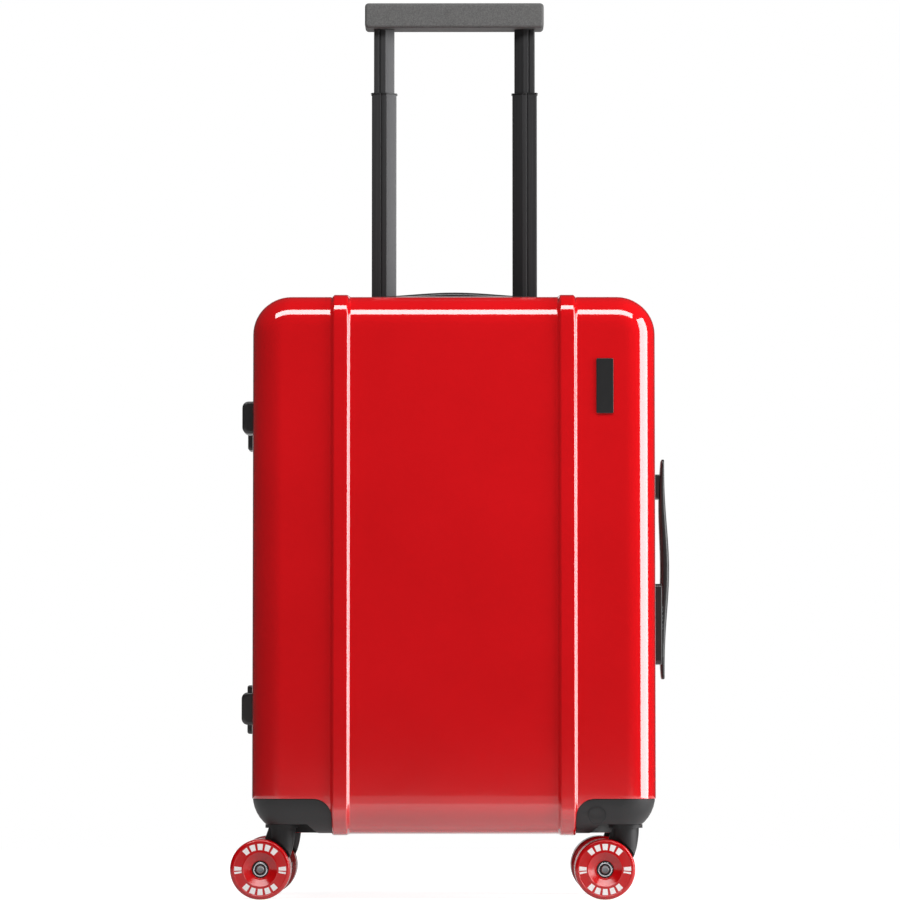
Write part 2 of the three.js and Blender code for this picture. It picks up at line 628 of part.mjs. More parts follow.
place('front_shell', shell(-1), redPolycarbonate);
place('rear_shell', shell(1), redPolycarbonate);
place('front_zip_half', zipHalf(-1), zipTape);
place('rear_zip_half', zipHalf(1), zipTape);
place('hinge_gusset', hingeGusset(), zipTape);
place('divider_panel', dividerPanel(), liningCloth);

const LOCK_Z = CASE_MIDDLE - LOCK_DROP;
const SLIDER_X = HALF_WIDTH - ZIP_INSET + GAP;
place('zip_slider_upper', zipSlider(), blackPlastic, SLIDER_X, 0, LOCK_Z + SLIDER_SPACING / 2);
place('zip_slider_lower', zipSlider(), blackPlastic, SLIDER_X, 0, LOCK_Z - SLIDER_SPACING / 2);

for (const [depthName, sideY] of [['front', -1], ['rear', 1]]) {
  for (const [widthName, sideX] of [['left', -1], ['right', 1]]) {
    const corner = `${depthName}_${widthName}`;
    place(`corner_guard_${corner}`, cornerGuard(sideX, sideY), blackNylon);
    const caster = new THREE.Group();
    caster.position.set(sideX * CASTER_X, sideY * CASTER_Y, 0);
    suitcase.add(caster);
    place(`caster_fork_${corner}`, casterFork(), blackNylon, 0, 0, 0, caster);
    place(`caster_axle_${corner}`, casterAxle(), bearingSteel, 0, 0, 0, caster);
    for (const [wheelName, wheelSide] of [['outer', sideY], ['inner', -sideY]]) {
      place(`wheel_${corner}_${wheelName}`, casterWheel(wheelSide), redUrethane, 0, 0, 0, caster);
      place(`bearing_${corner}_${wheelName}`, wheelBearing(wheelSide), bearingSteel, 0, 0, 0, caster);
    }
  }
}

const UPPER_BOTTOM = BAR_BOTTOM - GAP - TUBE_LENGTH;
const OUTER_BOTTOM = BRACKET_TOP + GAP;
const OUTER_TOP = CUP_FLOOR - CUP_WALL - GAP;
for (const [widthName, side] of [['left', -1], ['right', 1]]) {
  place(`trolley_upper_tube_${widthName}`, tube(side, 0, UPPER_BOTTOM, BAR_BOTTOM - GAP), darkAluminium);
  place(
    `trolley_middle_tube_${widthName}`,
    tube(side, MIDDLE_TUBE_GROWTH, MIDDLE_TOP - TUBE_LENGTH, MIDDLE_TOP), darkAluminium,
  );
  place(`trolley_outer_tube_${widthName}`, tube(side, OUTER_TUBE_GROWTH, OUTER_BOTTOM, OUTER_TOP), darkAluminium);
}
place('trolley_grip', trolleyGrip(), blackNylon);
place('trolley_button', buttonBlock(0, 0), blackPlastic);
place('trolley_cup', trolleyCup(), blackPlastic);
place('trolley_foot_bracket', footBracket(), blackPlastic);

const sideHandle = new THREE.Group();
sideHandle.position.set(HALF_WIDTH, HANDLE_Y, CASE_MIDDLE);
sideHandle.rotation.y = Math.PI / 2;
const topHandle = new THREE.Group();
topHandle.position.set(0, HANDLE_Y, CASE_TOP);
suitcase.add(sideHandle, topHandle);
place('side_handle_base', handleBase(SIDE_HANDLE_PROUD, SIDE_BASE_LENGTH, SIDE_MOUNT_INSET), blackPlastic, 0, 0, 0, sideHandle);
place('side_handle_grip', handleGrip(SIDE_HANDLE_PROUD), blackPlastic, 0, 0, 0, sideHandle);
place('top_handle_base', handleBase(TOP_HANDLE_PROUD, TOP_BASE_LENGTH, TOP_MOUNT_INSET), blackPlastic, 0, 0, 0, topHandle);
place('top_handle_grip', handleGrip(TOP_HANDLE_PROUD), blackPlastic, 0, 0, 0, topHandle);

const lock = new THREE.Group();
lock.position.set(HALF_WIDTH, LOCK_Y, LOCK_Z);
suitcase.add(lock);
place('lock_body', lockBody(), blackPlastic, 0, 0, 0, lock);
place('lock_button', lockButtonBlock(0, 0), blackPlastic, 0, 0, 0, lock);
for (let number = 0; number < DIAL_COUNT; number += 1) {
  place(`lock_dial_${number + 1}`, lockDial(), bearingSteel, DIAL_CENTRE, 0, dialHeight(number), lock);
}

for (const [name, y, height, round] of [
  ['front', -FOOT_Y, FRONT_FOOT_HEIGHT, FRONT_FOOT_ROUND],
  ['rear', FOOT_Y, REAR_FOOT_HEIGHT, REAR_FOOT_ROUND],
]) {
  place(`side_foot_${name}_upper`, sideFoot(height, round), blackPlastic, -HALF_WIDTH, y, FOOT_MIDDLE + FOOT_SPREAD);
  place(`side_foot_${name}_lower`, sideFoot(height, round), blackPlastic, -HALF_WIDTH, y, FOOT_MIDDLE - FOOT_SPREAD);
}

const badgeX = HALF_WIDTH - BADGE_INSET_X;
const badgeZ = CASE_TOP - BADGE_DROP;
place('badge', block(
  badgeX - BADGE_WIDTH / 2, badgeX + BADGE_WIDTH / 2,
  -HALF_DEPTH - GAP - BADGE_THICKNESS, -HALF_DEPTH - GAP,
  badgeZ - BADGE_HEIGHT / 2, badgeZ + BADGE_HEIGHT / 2,
), blackPlastic);

export default suitcase;
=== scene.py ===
import json
import math

import bmesh
import bpy
import numpy as np
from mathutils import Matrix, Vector

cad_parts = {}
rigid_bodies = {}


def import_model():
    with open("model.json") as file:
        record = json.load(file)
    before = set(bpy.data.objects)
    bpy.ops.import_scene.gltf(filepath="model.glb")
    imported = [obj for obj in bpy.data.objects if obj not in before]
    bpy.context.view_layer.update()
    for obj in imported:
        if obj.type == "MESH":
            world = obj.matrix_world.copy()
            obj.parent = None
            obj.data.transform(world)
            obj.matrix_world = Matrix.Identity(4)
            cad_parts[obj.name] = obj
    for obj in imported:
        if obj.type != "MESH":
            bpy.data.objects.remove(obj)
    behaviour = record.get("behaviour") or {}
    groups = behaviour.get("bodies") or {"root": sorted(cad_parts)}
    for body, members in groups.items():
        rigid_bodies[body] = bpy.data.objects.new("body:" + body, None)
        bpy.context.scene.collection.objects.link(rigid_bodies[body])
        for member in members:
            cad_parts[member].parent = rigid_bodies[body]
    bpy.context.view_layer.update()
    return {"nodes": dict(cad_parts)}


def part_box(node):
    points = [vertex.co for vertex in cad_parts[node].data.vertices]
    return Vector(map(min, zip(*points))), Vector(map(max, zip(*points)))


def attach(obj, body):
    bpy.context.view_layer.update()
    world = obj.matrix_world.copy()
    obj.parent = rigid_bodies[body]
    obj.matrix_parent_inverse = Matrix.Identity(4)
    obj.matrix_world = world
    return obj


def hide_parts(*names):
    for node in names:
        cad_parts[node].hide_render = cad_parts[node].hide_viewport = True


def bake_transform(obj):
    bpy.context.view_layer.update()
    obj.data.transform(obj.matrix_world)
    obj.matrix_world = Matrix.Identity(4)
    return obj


for leftover in list(bpy.data.objects):
    bpy.data.objects.remove(leftover)
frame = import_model()

# ---- Shells ----
# Two half shells of glossy red polycarbonate, drawn by vacuum from 2.4 mm sheet over a mould with two raised
# ribs. Their lower corners are trimmed out for the plastic guards, and the rear one's top edge for the
# trolley's cup.

RIB_FACE = 0.0033
RIB_SIDE = 0.0012
RIB_EDGE = 0.023
WALL = 0.0024
EDGE_RADIUS = 0.028
CORNER_RADIUS = 0.035
shell_low, shell_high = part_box("front_shell")
case_side = shell_high.x
case_face = -shell_low.y - RIB_FACE
case_bottom = shell_low.z + RIB_SIDE
case_top = shell_high.z - RIB_SIDE
case_middle = (case_bottom + case_top) / 2
shell_rim = -shell_high.y
CLEAR = 0.0003

RIB_MIDDLE = 0.1034
RIB_SLOPE = math.radians(58)
RIB_CROWN = 0.0052
RIB_FOOT = 0.0098
RIB_BEND = 0.0021
bends = [RIB_SLOPE * step / 6 for step in range(7)]
RIB_PROFILE = [(0, 0), (RIB_CROWN - 0.0012, 0)]
RIB_PROFILE += [(RIB_CROWN + RIB_BEND * math.sin(t), RIB_BEND * (1 - math.cos(t))) for t in bends]
RIB_PROFILE += [
    (RIB_FOOT - RIB_BEND * math.sin(t), RIB_FACE - RIB_BEND * (1 - math.cos(t))) for t in reversed(bends)
]
RIB_PROFILE += [(RIB_FOOT + 0.001, RIB_FACE)]


def rib_share(x):
    """Share of a rib's full height at this place across the case: a soft crown, a slope and a soft foot."""
    distances, drops = zip(*RIB_PROFILE)
    return 1 - float(np.interp(abs(abs(x) - RIB_MIDDLE), distances, drops)) / RIB_FACE


def rib_height(turn):
    """A rib's height where the case faces this way, from the big face (0) to the side (90)."""
    front, out = EDGE_RADIUS + RIB_FACE, EDGE_RADIUS + RIB_SIDE
    along, beside = front - RIB_EDGE, out - RIB_EDGE
    if front * math.sin(turn) < beside * math.cos(turn):
        return front / math.cos(turn) - EDGE_RADIUS
    if out * math.cos(turn) < along * math.sin(turn):
        return out / math.sin(turn) - EDGE_RADIUS
    ahead = along * math.cos(turn) + beside * math.sin(turn)
    return ahead + math.sqrt(ahead**2 - along**2 - beside**2 + RIB_EDGE**2) - EDGE_RADIUS


def quarter(start, steps):
    """Angles strictly inside a quarter turn clockwise from start, as sine and cosine."""
    turns = [math.radians(start - 90 * step / steps) for step in range(1, steps)]
    return [(math.cos(turn), math.sin(turn)) for turn in turns]


def case_columns(run, side, steps=14):
    """Stations clockwise round the case from its top left: the corner's or run's middle, and the way out."""
    x, z = case_side - CORNER_RADIUS, (case_top - case_bottom) / 2 - CORNER_RADIUS
    found = [(across, z, 0, 1) for across in run]
    found += [(x, z, *out) for out in quarter(90, steps)]
    found += [(x, up, 1, 0) for up in reversed(side)]
    found += [(x, -z, *out) for out in quarter(0, steps)]
    found += [(across, -z, 0, -1) for across in reversed(run)]
    found += [(-x, -z, *out) for out in quarter(-90, steps)]
    found += [(-x, up, -1, 0) for up in side]
    return found + [(-x, z, *out) for out in quarter(180, steps)]


def case_point(column, angle, offset, face=None, edge=EDGE_RADIUS, ribs=True, y=None):
    """A point on the front half's surface: angle 0 is the big face, 90 the side, offset along the way out."""
    x, z, out_x, out_z = column
    turn = math.radians(angle)
    reach = CORNER_RADIUS - edge * (1 - math.sin(turn))
    facing = Vector((out_x * math.sin(turn), -math.cos(turn), out_z * math.sin(turn)))
    back = edge * (1 - math.cos(turn)) - (case_face if face is None else face)
    point = Vector((x + reach * out_x, back if y is None else y, case_middle + z + reach * out_z))
    if ribs and out_x == 0:
        offset += rib_share(x) * rib_height(turn)
    return point + facing * offset


def loft(rows, wrap=True, caps=True, ring=False):
    """Points and faces of a skin over rows of equally many points. A ring joins its last row to its first."""
    count = len(rows[0])
    points = [tuple(point) for row in rows for point in row]
    faces = []
    for row in range(len(rows) if ring else len(rows) - 1):
        here, there = row * count, (row + 1) % len(rows) * count
        for i in range(count if wrap else count - 1):
            j = (i + 1) % count
            faces.append((here + i, here + j, there + j, there + i))
    if caps and not ring:
        faces.append(tuple(range(count)))
        faces.append(tuple(range(len(points) - count, len(points))))
    return points, faces


def solid(*skins):
    """One closed shape from several skins, with shared corners joined and all faces turned outwards."""
    points, faces = [], []
    for skin_points, skin_faces in skins:
        faces += [tuple(len(points) + i for i in face) for face in skin_faces]
        points += skin_points
    mesh = bpy.data.meshes.new("shape")
    mesh.from_pydata(points, [], faces)
    work = bmesh.new()
    work.from_mesh(mesh)
    bmesh.ops.remove_doubles(work, verts=work.verts, dist=2e-6)
    bmesh.ops.recalc_face_normals(work, faces=work.faces)
    work.to_mesh(mesh)
    work.free()
    shape = bpy.data.objects.new("shape", mesh)
    bpy.context.scene.collection.objects.link(shape)
    return shape


def settle(shape):
    """Keeps what the shape's modifiers make of it as its own mesh."""
    graph = bpy.context.evaluated_depsgraph_get()
    mesh = bpy.data.meshes.new_from_object(shape.evaluated_get(graph))
    shape.modifiers.clear()
    shape.data = mesh
    return shape


def carve(shape, cutter, operation="DIFFERENCE"):
    """Cuts, joins or keeps the common part of two shapes. The second one is used up."""
    step = shape.modifiers.new("carve", "BOOLEAN")
    step.operation = operation
    step.solver = "EXACT"
    step.object = cutter
    settle(shape)
    bpy.data.objects.remove(cutter)
    return shape


def fit(shape, name, material, body, stands_for=(), round_edges=0, segments=2, sharp=35):
    """Names and finishes a shape, rounds its edges, and fixes it to the body that carries it."""
    shape.name = shape.data.name = name
    shape.data.materials.clear()
    shape.data.materials.append(material)
    if round_edges:
        step = shape.modifiers.new("edges", "BEVEL")
        step.width = round_edges
        step.segments = segments
        step.limit_method = "ANGLE"
        step.angle_limit = math.radians(sharp)
        settle(shape)
    shape.data.polygons.foreach_set("use_smooth", [True] * len(shape.data.polygons))
    shape.data.set_sharp_from_angle(angle=math.radians(max(sharp, 40 if round_edges else sharp)))
    faces = shape.modifiers.new("faces", "WEIGHTED_NORMAL")
    faces.keep_sharp = True
    if body:
        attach(shape, body)
    if stands_for:
        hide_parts(*stands_for)
    return shape


def linear(shade):
    """An sRGB hex colour as the linear numbers that a shader takes."""
    parts = [int(shade[i : i + 2], 16) / 255 for i in (1, 3, 5)]
    return [part / 12.92 if part <= 0.04045 else ((part + 0.055) / 1.055) ** 2.4 for part in parts] + [1]


def add_node(tree, kind, inputs=None, **settings):
    """Adds a node, sets its settings, and gives each input a value or another node's output."""
    node = tree.nodes.new(kind)
    for name, value in settings.items():
        setattr(node, name, value)
    for name, value in (inputs or {}).items():
        if isinstance(value, bpy.types.NodeSocket):
            tree.links.new(value, node.inputs[name])
        else:
            node.inputs[name].default_value = value
    return node


def new_finish(name, **inputs):
    """A material with one surface shader, and the place on the object for its patterns."""
    material = bpy.data.materials.new(name)
    material.use_nodes = True
    tree = material.node_tree
    tree.nodes.clear()
    surface = add_node(tree, "ShaderNodeBsdfPrincipled", inputs)
    add_node(tree, "ShaderNodeOutputMaterial", {"Surface": surface.outputs["BSDF"]})
    place = add_node(tree, "ShaderNodeTexCoord").outputs["Object"]
    return material, tree, surface, place


# Vacuum-formed polycarbonate with its clear gloss film: a deep even red under a mirror-like skin, with the
# faint waviness of drawn sheet every 30 mm or so. Slight rubbing, in patches 4 mm across, shows only in the
# highlights.
polycarbonate, tree, surface, place = new_finish(
    "vacuum_formed_red_polycarbonate",
    **{"IOR": 1.586, "Coat Weight": 1.0, "Coat Roughness": 0.02, "Coat IOR": 1.5},
)
tint = add_node(tree, "ShaderNodeTexNoise", {"Vector": place, "Scale": 9.0, "Detail": 3.0})
reds = add_node(tree, "ShaderNodeValToRGB", {"Fac": tint.outputs["Fac"]})
reds.color_ramp.elements[0].position = 0.3
reds.color_ramp.elements[0].color = linear("#CA0A11")
reds.color_ramp.elements[1].position = 0.7
reds.color_ramp.elements[1].color = linear("#D20C14")
tree.links.new(reds.outputs["Color"], surface.inputs["Base Color"])
rub = add_node(tree, "ShaderNodeTexNoise", {"Vector": place, "Scale": 260.0, "Detail": 5.0})
gloss = add_node(
    tree, "ShaderNodeMapRange", {"Value": rub.outputs["Fac"], "To Min": 0.05, "To Max": 0.11}
)
tree.links.new(gloss.outputs["Result"], surface.inputs["Roughness"])
wave = add_node(tree, "ShaderNodeTexNoise", {"Vector": place, "Scale": 32.0, "Detail": 1.0})
relief = add_node(
    tree, "ShaderNodeBump", {"Height": wave.outputs["Fac"], "Strength": 0.25, "Distance": 0.00006}
)
tree.links.new(relief.outputs["Normal"], surface.inputs["Normal"])
tree.links.new(relief.outputs["Normal"], surface.inputs["Coat Normal"])

# Stations across the top, close together over the ribs, and up the sides.
steps = [sign * distance for sign in (-1, 1) for distance, _ in RIB_PROFILE]
ribs = [side * RIB_MIDDLE + step for side in (-1, 1) for step in steps]
corner_x = case_side - CORNER_RADIUS
plain = [-corner_x, -0.14, -0.128, -0.118, 0.118, 0.128, 0.14, corner_x]
plain += [0.019 * step for step in range(-4, 5)]
run_stations = sorted(set(round(x, 6) for x in ribs + plain))
side_reach = (case_top - case_bottom) / 2 - CORNER_RADIUS
side_stations = [side_reach * (step / 10 - 1) for step in range(21)]
columns = case_columns(run_stations, side_stations)
EDGE_STEPS = 18


def case_skins(offset, face=None, edge=EDGE_RADIUS, ribs=True, rim=shell_rim + 0.001):
    """The front half's surface in three skins, and its last row, which lies at the rim."""
    angles = [90 * step / EDGE_STEPS for step in range(EDGE_STEPS + 1)]
    rows = [[case_point(c, angle, offset, face, edge, ribs) for c in columns] for angle in angles]
    start = (case_face if face is None else face) - edge
    for step in range(1, 7):
        y = -start - (rim - start) * step / 6
        rows.append([case_point(c, 90, offset, face, edge, ribs, y) for c in columns])
    grid = []
    for up in side_stations:
        flat = [(x, up, 0, 0) for x in run_stations]
        grid.append([case_point(c, 0, offset, face, edge, ribs) for c in flat])
    hub = [case_point((c[0], c[1], 0, 0), 0, offset, face, edge, ribs) for c in columns]
    skins = [loft(rows, caps=False), loft([hub, rows[0]], caps=False), loft(grid, wrap=False, caps=False)]
    return skins, rows[-1]


outer_skins, outer_rim = case_skins(0)
inner_skins, inner_rim = case_skins(-WALL)
lip = [(0.00015, 0.00035), (0.0006, 0.00005), (0.001, 0), (WALL - 0.001, 0), (WALL - 0.0006, 0.00005)]
lip.append((WALL - 0.00015, 0.00035))
rim_rows = [[case_point(c, 90, -inset, y=-shell_rim - back) for c in columns] for inset, back in lip]
rim_skin = loft([outer_rim, *rim_rows, inner_rim], caps=False)

GUARD_INNER = case_side - 0.073
GUARD_HEIGHT = 0.0318
GUARD_CORNER = 0.0165
GUARD_SEAM = 0.030


def corner_block(side_x, side_y, growth):
    """The block of space that one corner guard takes, with a rounded upper inner corner."""
    radius = GUARD_CORNER + growth
    inner, top = GUARD_INNER - growth, case_bottom + GUARD_HEIGHT + growth
    below, beyond = 0.02, 0.3
    outline = [(inner, below)]
    for step in range(13):
        turn = math.radians(180 - 7.5 * step)
        outline.append((inner + radius + radius * math.cos(turn), top - radius + radius * math.sin(turn)))
    outline += [(beyond, top), (beyond, below)]
    ends = [side_y * beyond, side_y * (GUARD_SEAM - growth)]
    return solid(loft([[(side_x * x, y, z) for x, z in outline] for y in ends]))


def rounded(half_a, half_b, radius, steps=6):
    """A rectangle with rounded corners, as points round it."""
    points = []
    for corner, (a, b) in enumerate([(1, 1), (-1, 1), (-1, -1), (1, -1)]):
        for step in range(steps + 1):
            turn = (corner + step / steps) * math.pi / 2
            across = a * (half_a - radius) + radius * math.cos(turn)
            points.append((across, b * (half_b - radius) + radius * math.sin(turn)))
    return points


cup_low, cup_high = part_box("trolley_cup")
cup_y = (cup_low.y + cup_high.y) / 2
CUP_CORNER = 0.006


def cup_block(growth, low, high):
    """An upright block with the trolley cup's outline, grown or shrunk."""
    outline = rounded(cup_high.x + growth, (cup_high.y - cup_low.y) / 2 + growth, CUP_CORNER + growth)
    return solid(loft([[(x, cup_y + y, z) for x, y in outline] for z in (low, high)]))


for side_y, body, name in [(-1, "lid", "front_shell"), (1, "root", "rear_shell")]:
    skins = [*outer_skins, *inner_skins, rim_skin]
    if side_y > 0:
        skins = [([(x, -y, z) for x, y, z in points], faces) for points, faces in skins]
    half = solid(*skins)
    for side_x in (-1, 1):
        carve(half, corner_block(side_x, side_y, CLEAR))
    if side_y > 0:
        carve(half, cup_block(CLEAR, cup_low.z - CLEAR, 0.6))
    fit(half, f"{name}_skin", polycarbonate, body, [name], 0.0009, 3, sharp=62)

# ---- Zip and cloth hinge ----
# A zip with moulded teeth joins the halves round the top, the right side and the bottom. Its woven tapes are
# sewn to the shells along a piping bead. Down the straight left side a plain woven strip is the hinge.

hinge_low, hinge_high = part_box("hinge_gusset")
ZIP_START = hinge_high.z - case_middle + CLEAR
side_top = side_stations[-1]

# Woven nylon tape: dull black, with a plain weave whose threads lie 0.6 mm apart, drawn at 1 mm so that they
# show.
tape_cloth, tree, surface, place = new_finish("woven_nylon_tape", **{"Roughness": 0.85, "Sheen Weight": 0.3})
warp = add_node(
    tree, "ShaderNodeTexWave", {"Vector": place, "Scale": 314.0, "Distortion": 0.4}, bands_direction="Z"
)
weft = add_node(
    tree, "ShaderNodeTexWave", {"Vector": place, "Scale": 314.0, "Distortion": 0.4}, bands_direction="Y"
)
weave = add_node(
    tree, "ShaderNodeMath", {0: warp.outputs["Fac"], 1: weft.outputs["Fac"]}, operation="MULTIPLY"
)
blacks = add_node(tree, "ShaderNodeValToRGB", {"Fac": weave.outputs[0]})
blacks.color_ramp.elements[0].color = linear("#0E0E0F")
blacks.color_ramp.elements[1].color = linear("#242425")
tree.links.new(blacks.outputs["Color"], surface.inputs["Base Color"])
relief = add_node(tree, "ShaderNodeBump", {"Height": weave.outputs[0], "Strength": 0.6, "Distance": 0.0002})
tree.links.new(relief.outputs["Normal"], surface.inputs["Normal"])

# Moulded acetal teeth: black, smooth and slightly glossy, a little uneven from tooth to tooth.
acetal, tree, surface, place = new_finish("moulded_acetal_teeth", **{"IOR": 1.48})
uneven = add_node(tree, "ShaderNodeTexNoise", {"Vector": place, "Scale": 400.0, "Detail": 2.0})
blacks = add_node(tree, "ShaderNodeValToRGB", {"Fac": uneven.outputs["Fac"]})
blacks.color_ramp.elements[0].color = linear("#151516")
blacks.color_ramp.elements[1].color = linear("#2A2A2B")
tree.links.new(blacks.outputs["Color"], surface.inputs["Base Color"])
gloss = add_node(tree, "ShaderNodeMapRange", {"Value": uneven.outputs["Fac"], "To Min": 0.25, "To Max": 0.4})
tree.links.new(gloss.outputs["Result"], surface.inputs["Roughness"])

rise = [ZIP_START + (side_top - ZIP_START) * step / 3 for step in range(4)]
across = [corner_x * step / 8 for step in range(-8, 9)]
zip_path = [(-corner_x, up, -1, 0) for up in rise]
zip_path += [(-corner_x, side_top, *out) for out in quarter(180, 12)]
zip_path += [(x, side_top, 0, 1) for x in across]
zip_path += [(corner_x, side_top, *out) for out in quarter(90, 12)]
zip_path += [(corner_x, side_top * (1 - step / 8), 1, 0) for step in range(17)]
zip_path += [(corner_x, -side_top, *out) for out in quarter(0, 12)]
zip_path += [(x, -side_top, 0, -1) for x in reversed(across)]
zip_path += [(-corner_x, -side_top, *out) for out in quarter(-90, 12)]
zip_path += [(-corner_x, -up, -1, 0) for up in reversed(rise)]


def seam_loft(profile, side_y):
    """A strip along the zip's path, from its section as (height over the surface, distance from the seam)."""
    rows = []
    for column in zip_path:
        row = [case_point(column, 90, offset, ribs=False, y=0) for offset, _ in profile]
        rows.append([(point.x, side_y * distance, point.z) for point, (_, distance) in zip(row, profile)])
    return loft(rows)


path_points = [case_point(column, 90, -0.0015, ribs=False, y=0) for column in zip_path]
path_lengths = [0.0]
for here, there in zip(path_points, path_points[1:]):
    path_lengths.append(path_lengths[-1] + (there - here).length)


def along_path(distance):
    """The place on the zip's path at a distance along it, and the way out of the case there."""
    x, z, out_x, out_z = (
        float(np.interp(distance, path_lengths, values))
        for values in zip(*[(p.x, p.z, c[2], c[3]) for p, c in zip(path_points, zip_path)])
    )
    return Vector((x, 0, z)), Vector((out_x, 0, out_z)).normalized()


TOOTH_PITCH = 0.002
TOOTH_HALF = 0.00042
TAPE_EDGE = 0.0088
tape_profile = [
    (-0.0009, 0.0031), (-0.0007, 0.0035), (-0.0007, 0.0070), (-0.0005, 0.0073), (-0.0005, 0.0084),
    (-0.0009, TAPE_EDGE), (-0.0026, TAPE_EDGE), (-0.0026, 0.0031),
]
tooth_profile = [
    (-0.0007, 0.0038), (0.0009, 0.0038), (0.0011, 0.0026), (0.0011, 0.0004), (0.0008, 0.0001),
    (-0.0007, 0.0001),
]
for side_y, body, name in [(-1, "lid", "front_zip_half"), (1, "root", "rear_zip_half")]:
    tape = solid(seam_loft(tape_profile, side_y))
    fit(tape, f"{name}_tape", tape_cloth, body, [name], sharp=50)
    points, faces = [], []
    for number in range(int(path_lengths[-1] / TOOTH_PITCH)):
        place_at, out = along_path((number + (0.25 if side_y > 0 else 0.75)) * TOOTH_PITCH)
        forward = Vector((-out.z, 0, out.x)) * TOOTH_HALF
        corners = []
        for lift, reach in tooth_profile:
            corners.append(place_at + out * lift + Vector((0, side_y * reach, 0)))
        start = len(points)
        count = len(corners)
        points += [tuple(corner - forward) for corner in corners]
        points += [tuple(corner + forward) for corner in corners]
        faces += [tuple(range(start, start + count)), tuple(range(start + count, start + 2 * count))]
        for i in range(count):
            j = (i + 1) % count
            faces.append((start + i, start + j, start + count + j, start + count + i))
    fit(solid((points, faces)), f"{name}_teeth", acetal, body, sharp=30)

# The hinge strip is sewn to both shells. It is drawn as one flat strip that is fixed to no body.
STRIP_LENGTH = 0.3592
strip_x = (hinge_low.x + hinge_high.x) / 2
rows = []
for depth, flip in [(-0.0004, 1), (0.0004, -1)]:
    for step in range(-8, 9):
        y = flip * TAPE_EDGE * step / 8
        rows.append([(strip_x + depth, y, hinge_low.z + 0.0004 + STRIP_LENGTH * up / 60) for up in range(61)])
count = len(rows[0])
points = [point for row in rows for point in row]
faces = []
for row in range(len(rows)):
    here, there = row * count, (row + 1) % len(rows) * count
    faces += [(here + i, here + i + 1, there + i + 1, there + i) for i in range(count - 1)]
for end in (0, count - 1):
    ends = [row * count + end for row in range(len(rows))]
    faces += [(ends[i], ends[i + 1], ends[-2 - i], ends[-1 - i]) for i in range(len(ends) // 2 - 1)]
hinge = fit(solid((points, faces)), "hinge_cloth", tape_cloth, None, ["hinge_gusset"], sharp=50)
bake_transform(hinge)

# Two sliders stand closed in the lower part of the right side. Each has a plate, a bridge and a flat pull that
# lies towards the lock. They are painted die-cast zinc: black and satin, with a slight metal glint.
slider_black, tree, surface, place = new_finish("painted_die_cast_zinc", **{"Metallic": 0.6, "IOR": 1.5})
chips = add_node(tree, "ShaderNodeTexNoise", {"Vector": place, "Scale": 600.0, "Detail": 4.0})
blacks = add_node(tree, "ShaderNodeValToRGB", {"Fac": chips.outputs["Fac"]})
blacks.color_ramp.elements[0].color = linear("#1A1A1B")
blacks.color_ramp.elements[1].color = linear("#303031")
tree.links.new(blacks.outputs["Color"], surface.inputs["Base Color"])
gloss = add_node(tree, "ShaderNodeMapRange", {"Value": chips.outputs["Fac"], "To Min": 0.28, "To Max": 0.45})
tree.links.new(gloss.outputs["Result"], surface.inputs["Roughness"])


def placed(skin, centre):
    """A skin moved so that its origin lies at centre."""
    points, faces = skin
    return [(x + centre[0], y + centre[1], z + centre[2]) for x, y, z in points], faces


def side_slab(half, radius, plan_radius, steps=4):
    """A block lying on the case's right side: its front edges are rounded, its back is flat."""
    rows = [(-half[0], rounded(half[1], half[2], plan_radius, 6))]
    for step in range(steps + 1):
        turn = math.pi / 2 * step / steps
        inset = radius * (1 - math.cos(turn))
        outline = rounded(half[1] - inset, half[2] - inset, max(plan_radius - inset, 0.0002), 6)
        rows.append((half[0] - radius * (1 - math.sin(turn)), outline))
    return loft([[(x, y, z) for y, z in outline] for x, outline in rows])


for level, toward in [("upper", 1), ("lower", -1)]:
    node = f"zip_slider_{level}"
    low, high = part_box(node)
    middle = (low + high) / 2
    plate = side_slab((0.0011, 0.0052, 0.0098), 0.0006, 0.0042)
    bridge = side_slab((0.0011, 0.0012, 0.0062), 0.0006, 0.001)
    pull = side_slab((0.0005, 0.0052, 0.0034), 0.0003, 0.0016)
    slider = solid(
        placed(plate, (low.x + 0.0011, 0, middle.z)),
        placed(bridge, (low.x + 0.0033, 0, middle.z)),
        placed(pull, (low.x + 0.0028, -0.0068, middle.z - toward * 0.0022)),
    )
    fit(slider, f"slider_{level}", slider_black, node, [node], sharp=40)

# ---- Corner guards ----
# Four charcoal guards of glass-filled nylon, injection moulded, that wrap the lower corners just below the
# shells' skin. Each carries a round seat for its caster underneath, and is screwed to the shell from inside.

SEAT_RADIUS = 0.034
SEAT_TOP = 0.0685
caster_x = case_side - 0.0274
caster_y = case_face - 0.033


def whole_case(growth, steps=12):
    """The whole case as one closed body, grown outwards or shrunk, without ribs."""
    corner, edge = CORNER_RADIUS + growth, EDGE_RADIUS + growth
    half_x, half_z = case_side + growth, (case_top - case_bottom) / 2 + growth
    rows = []
    for step in range(steps + 1):
        turn = math.pi / 2 * step / steps
        inset = edge * (1 - math.sin(turn))
        outline = rounded(half_x - inset, half_z - inset, max(corner - inset, 0.001), 10)
        rows.append((edge * (1 - math.cos(turn)) - case_face - growth, outline))
    rows += [(-y, outline) for y, outline in reversed(rows)]
    return solid(loft([[(x, y, case_middle + z) for x, z in outline] for y, outline in rows]))


def round_bar(radius, low, high, x=0, y=0, steps=48):
    """An upright round bar."""
    turns = [math.tau * (step + 0.5) / steps for step in range(steps)]
    ring = [(x + radius * math.cos(turn), y + radius * math.sin(turn)) for turn in turns]
    return solid(loft([[(a, b, z) for a, b in ring] for z in (low, high)]))


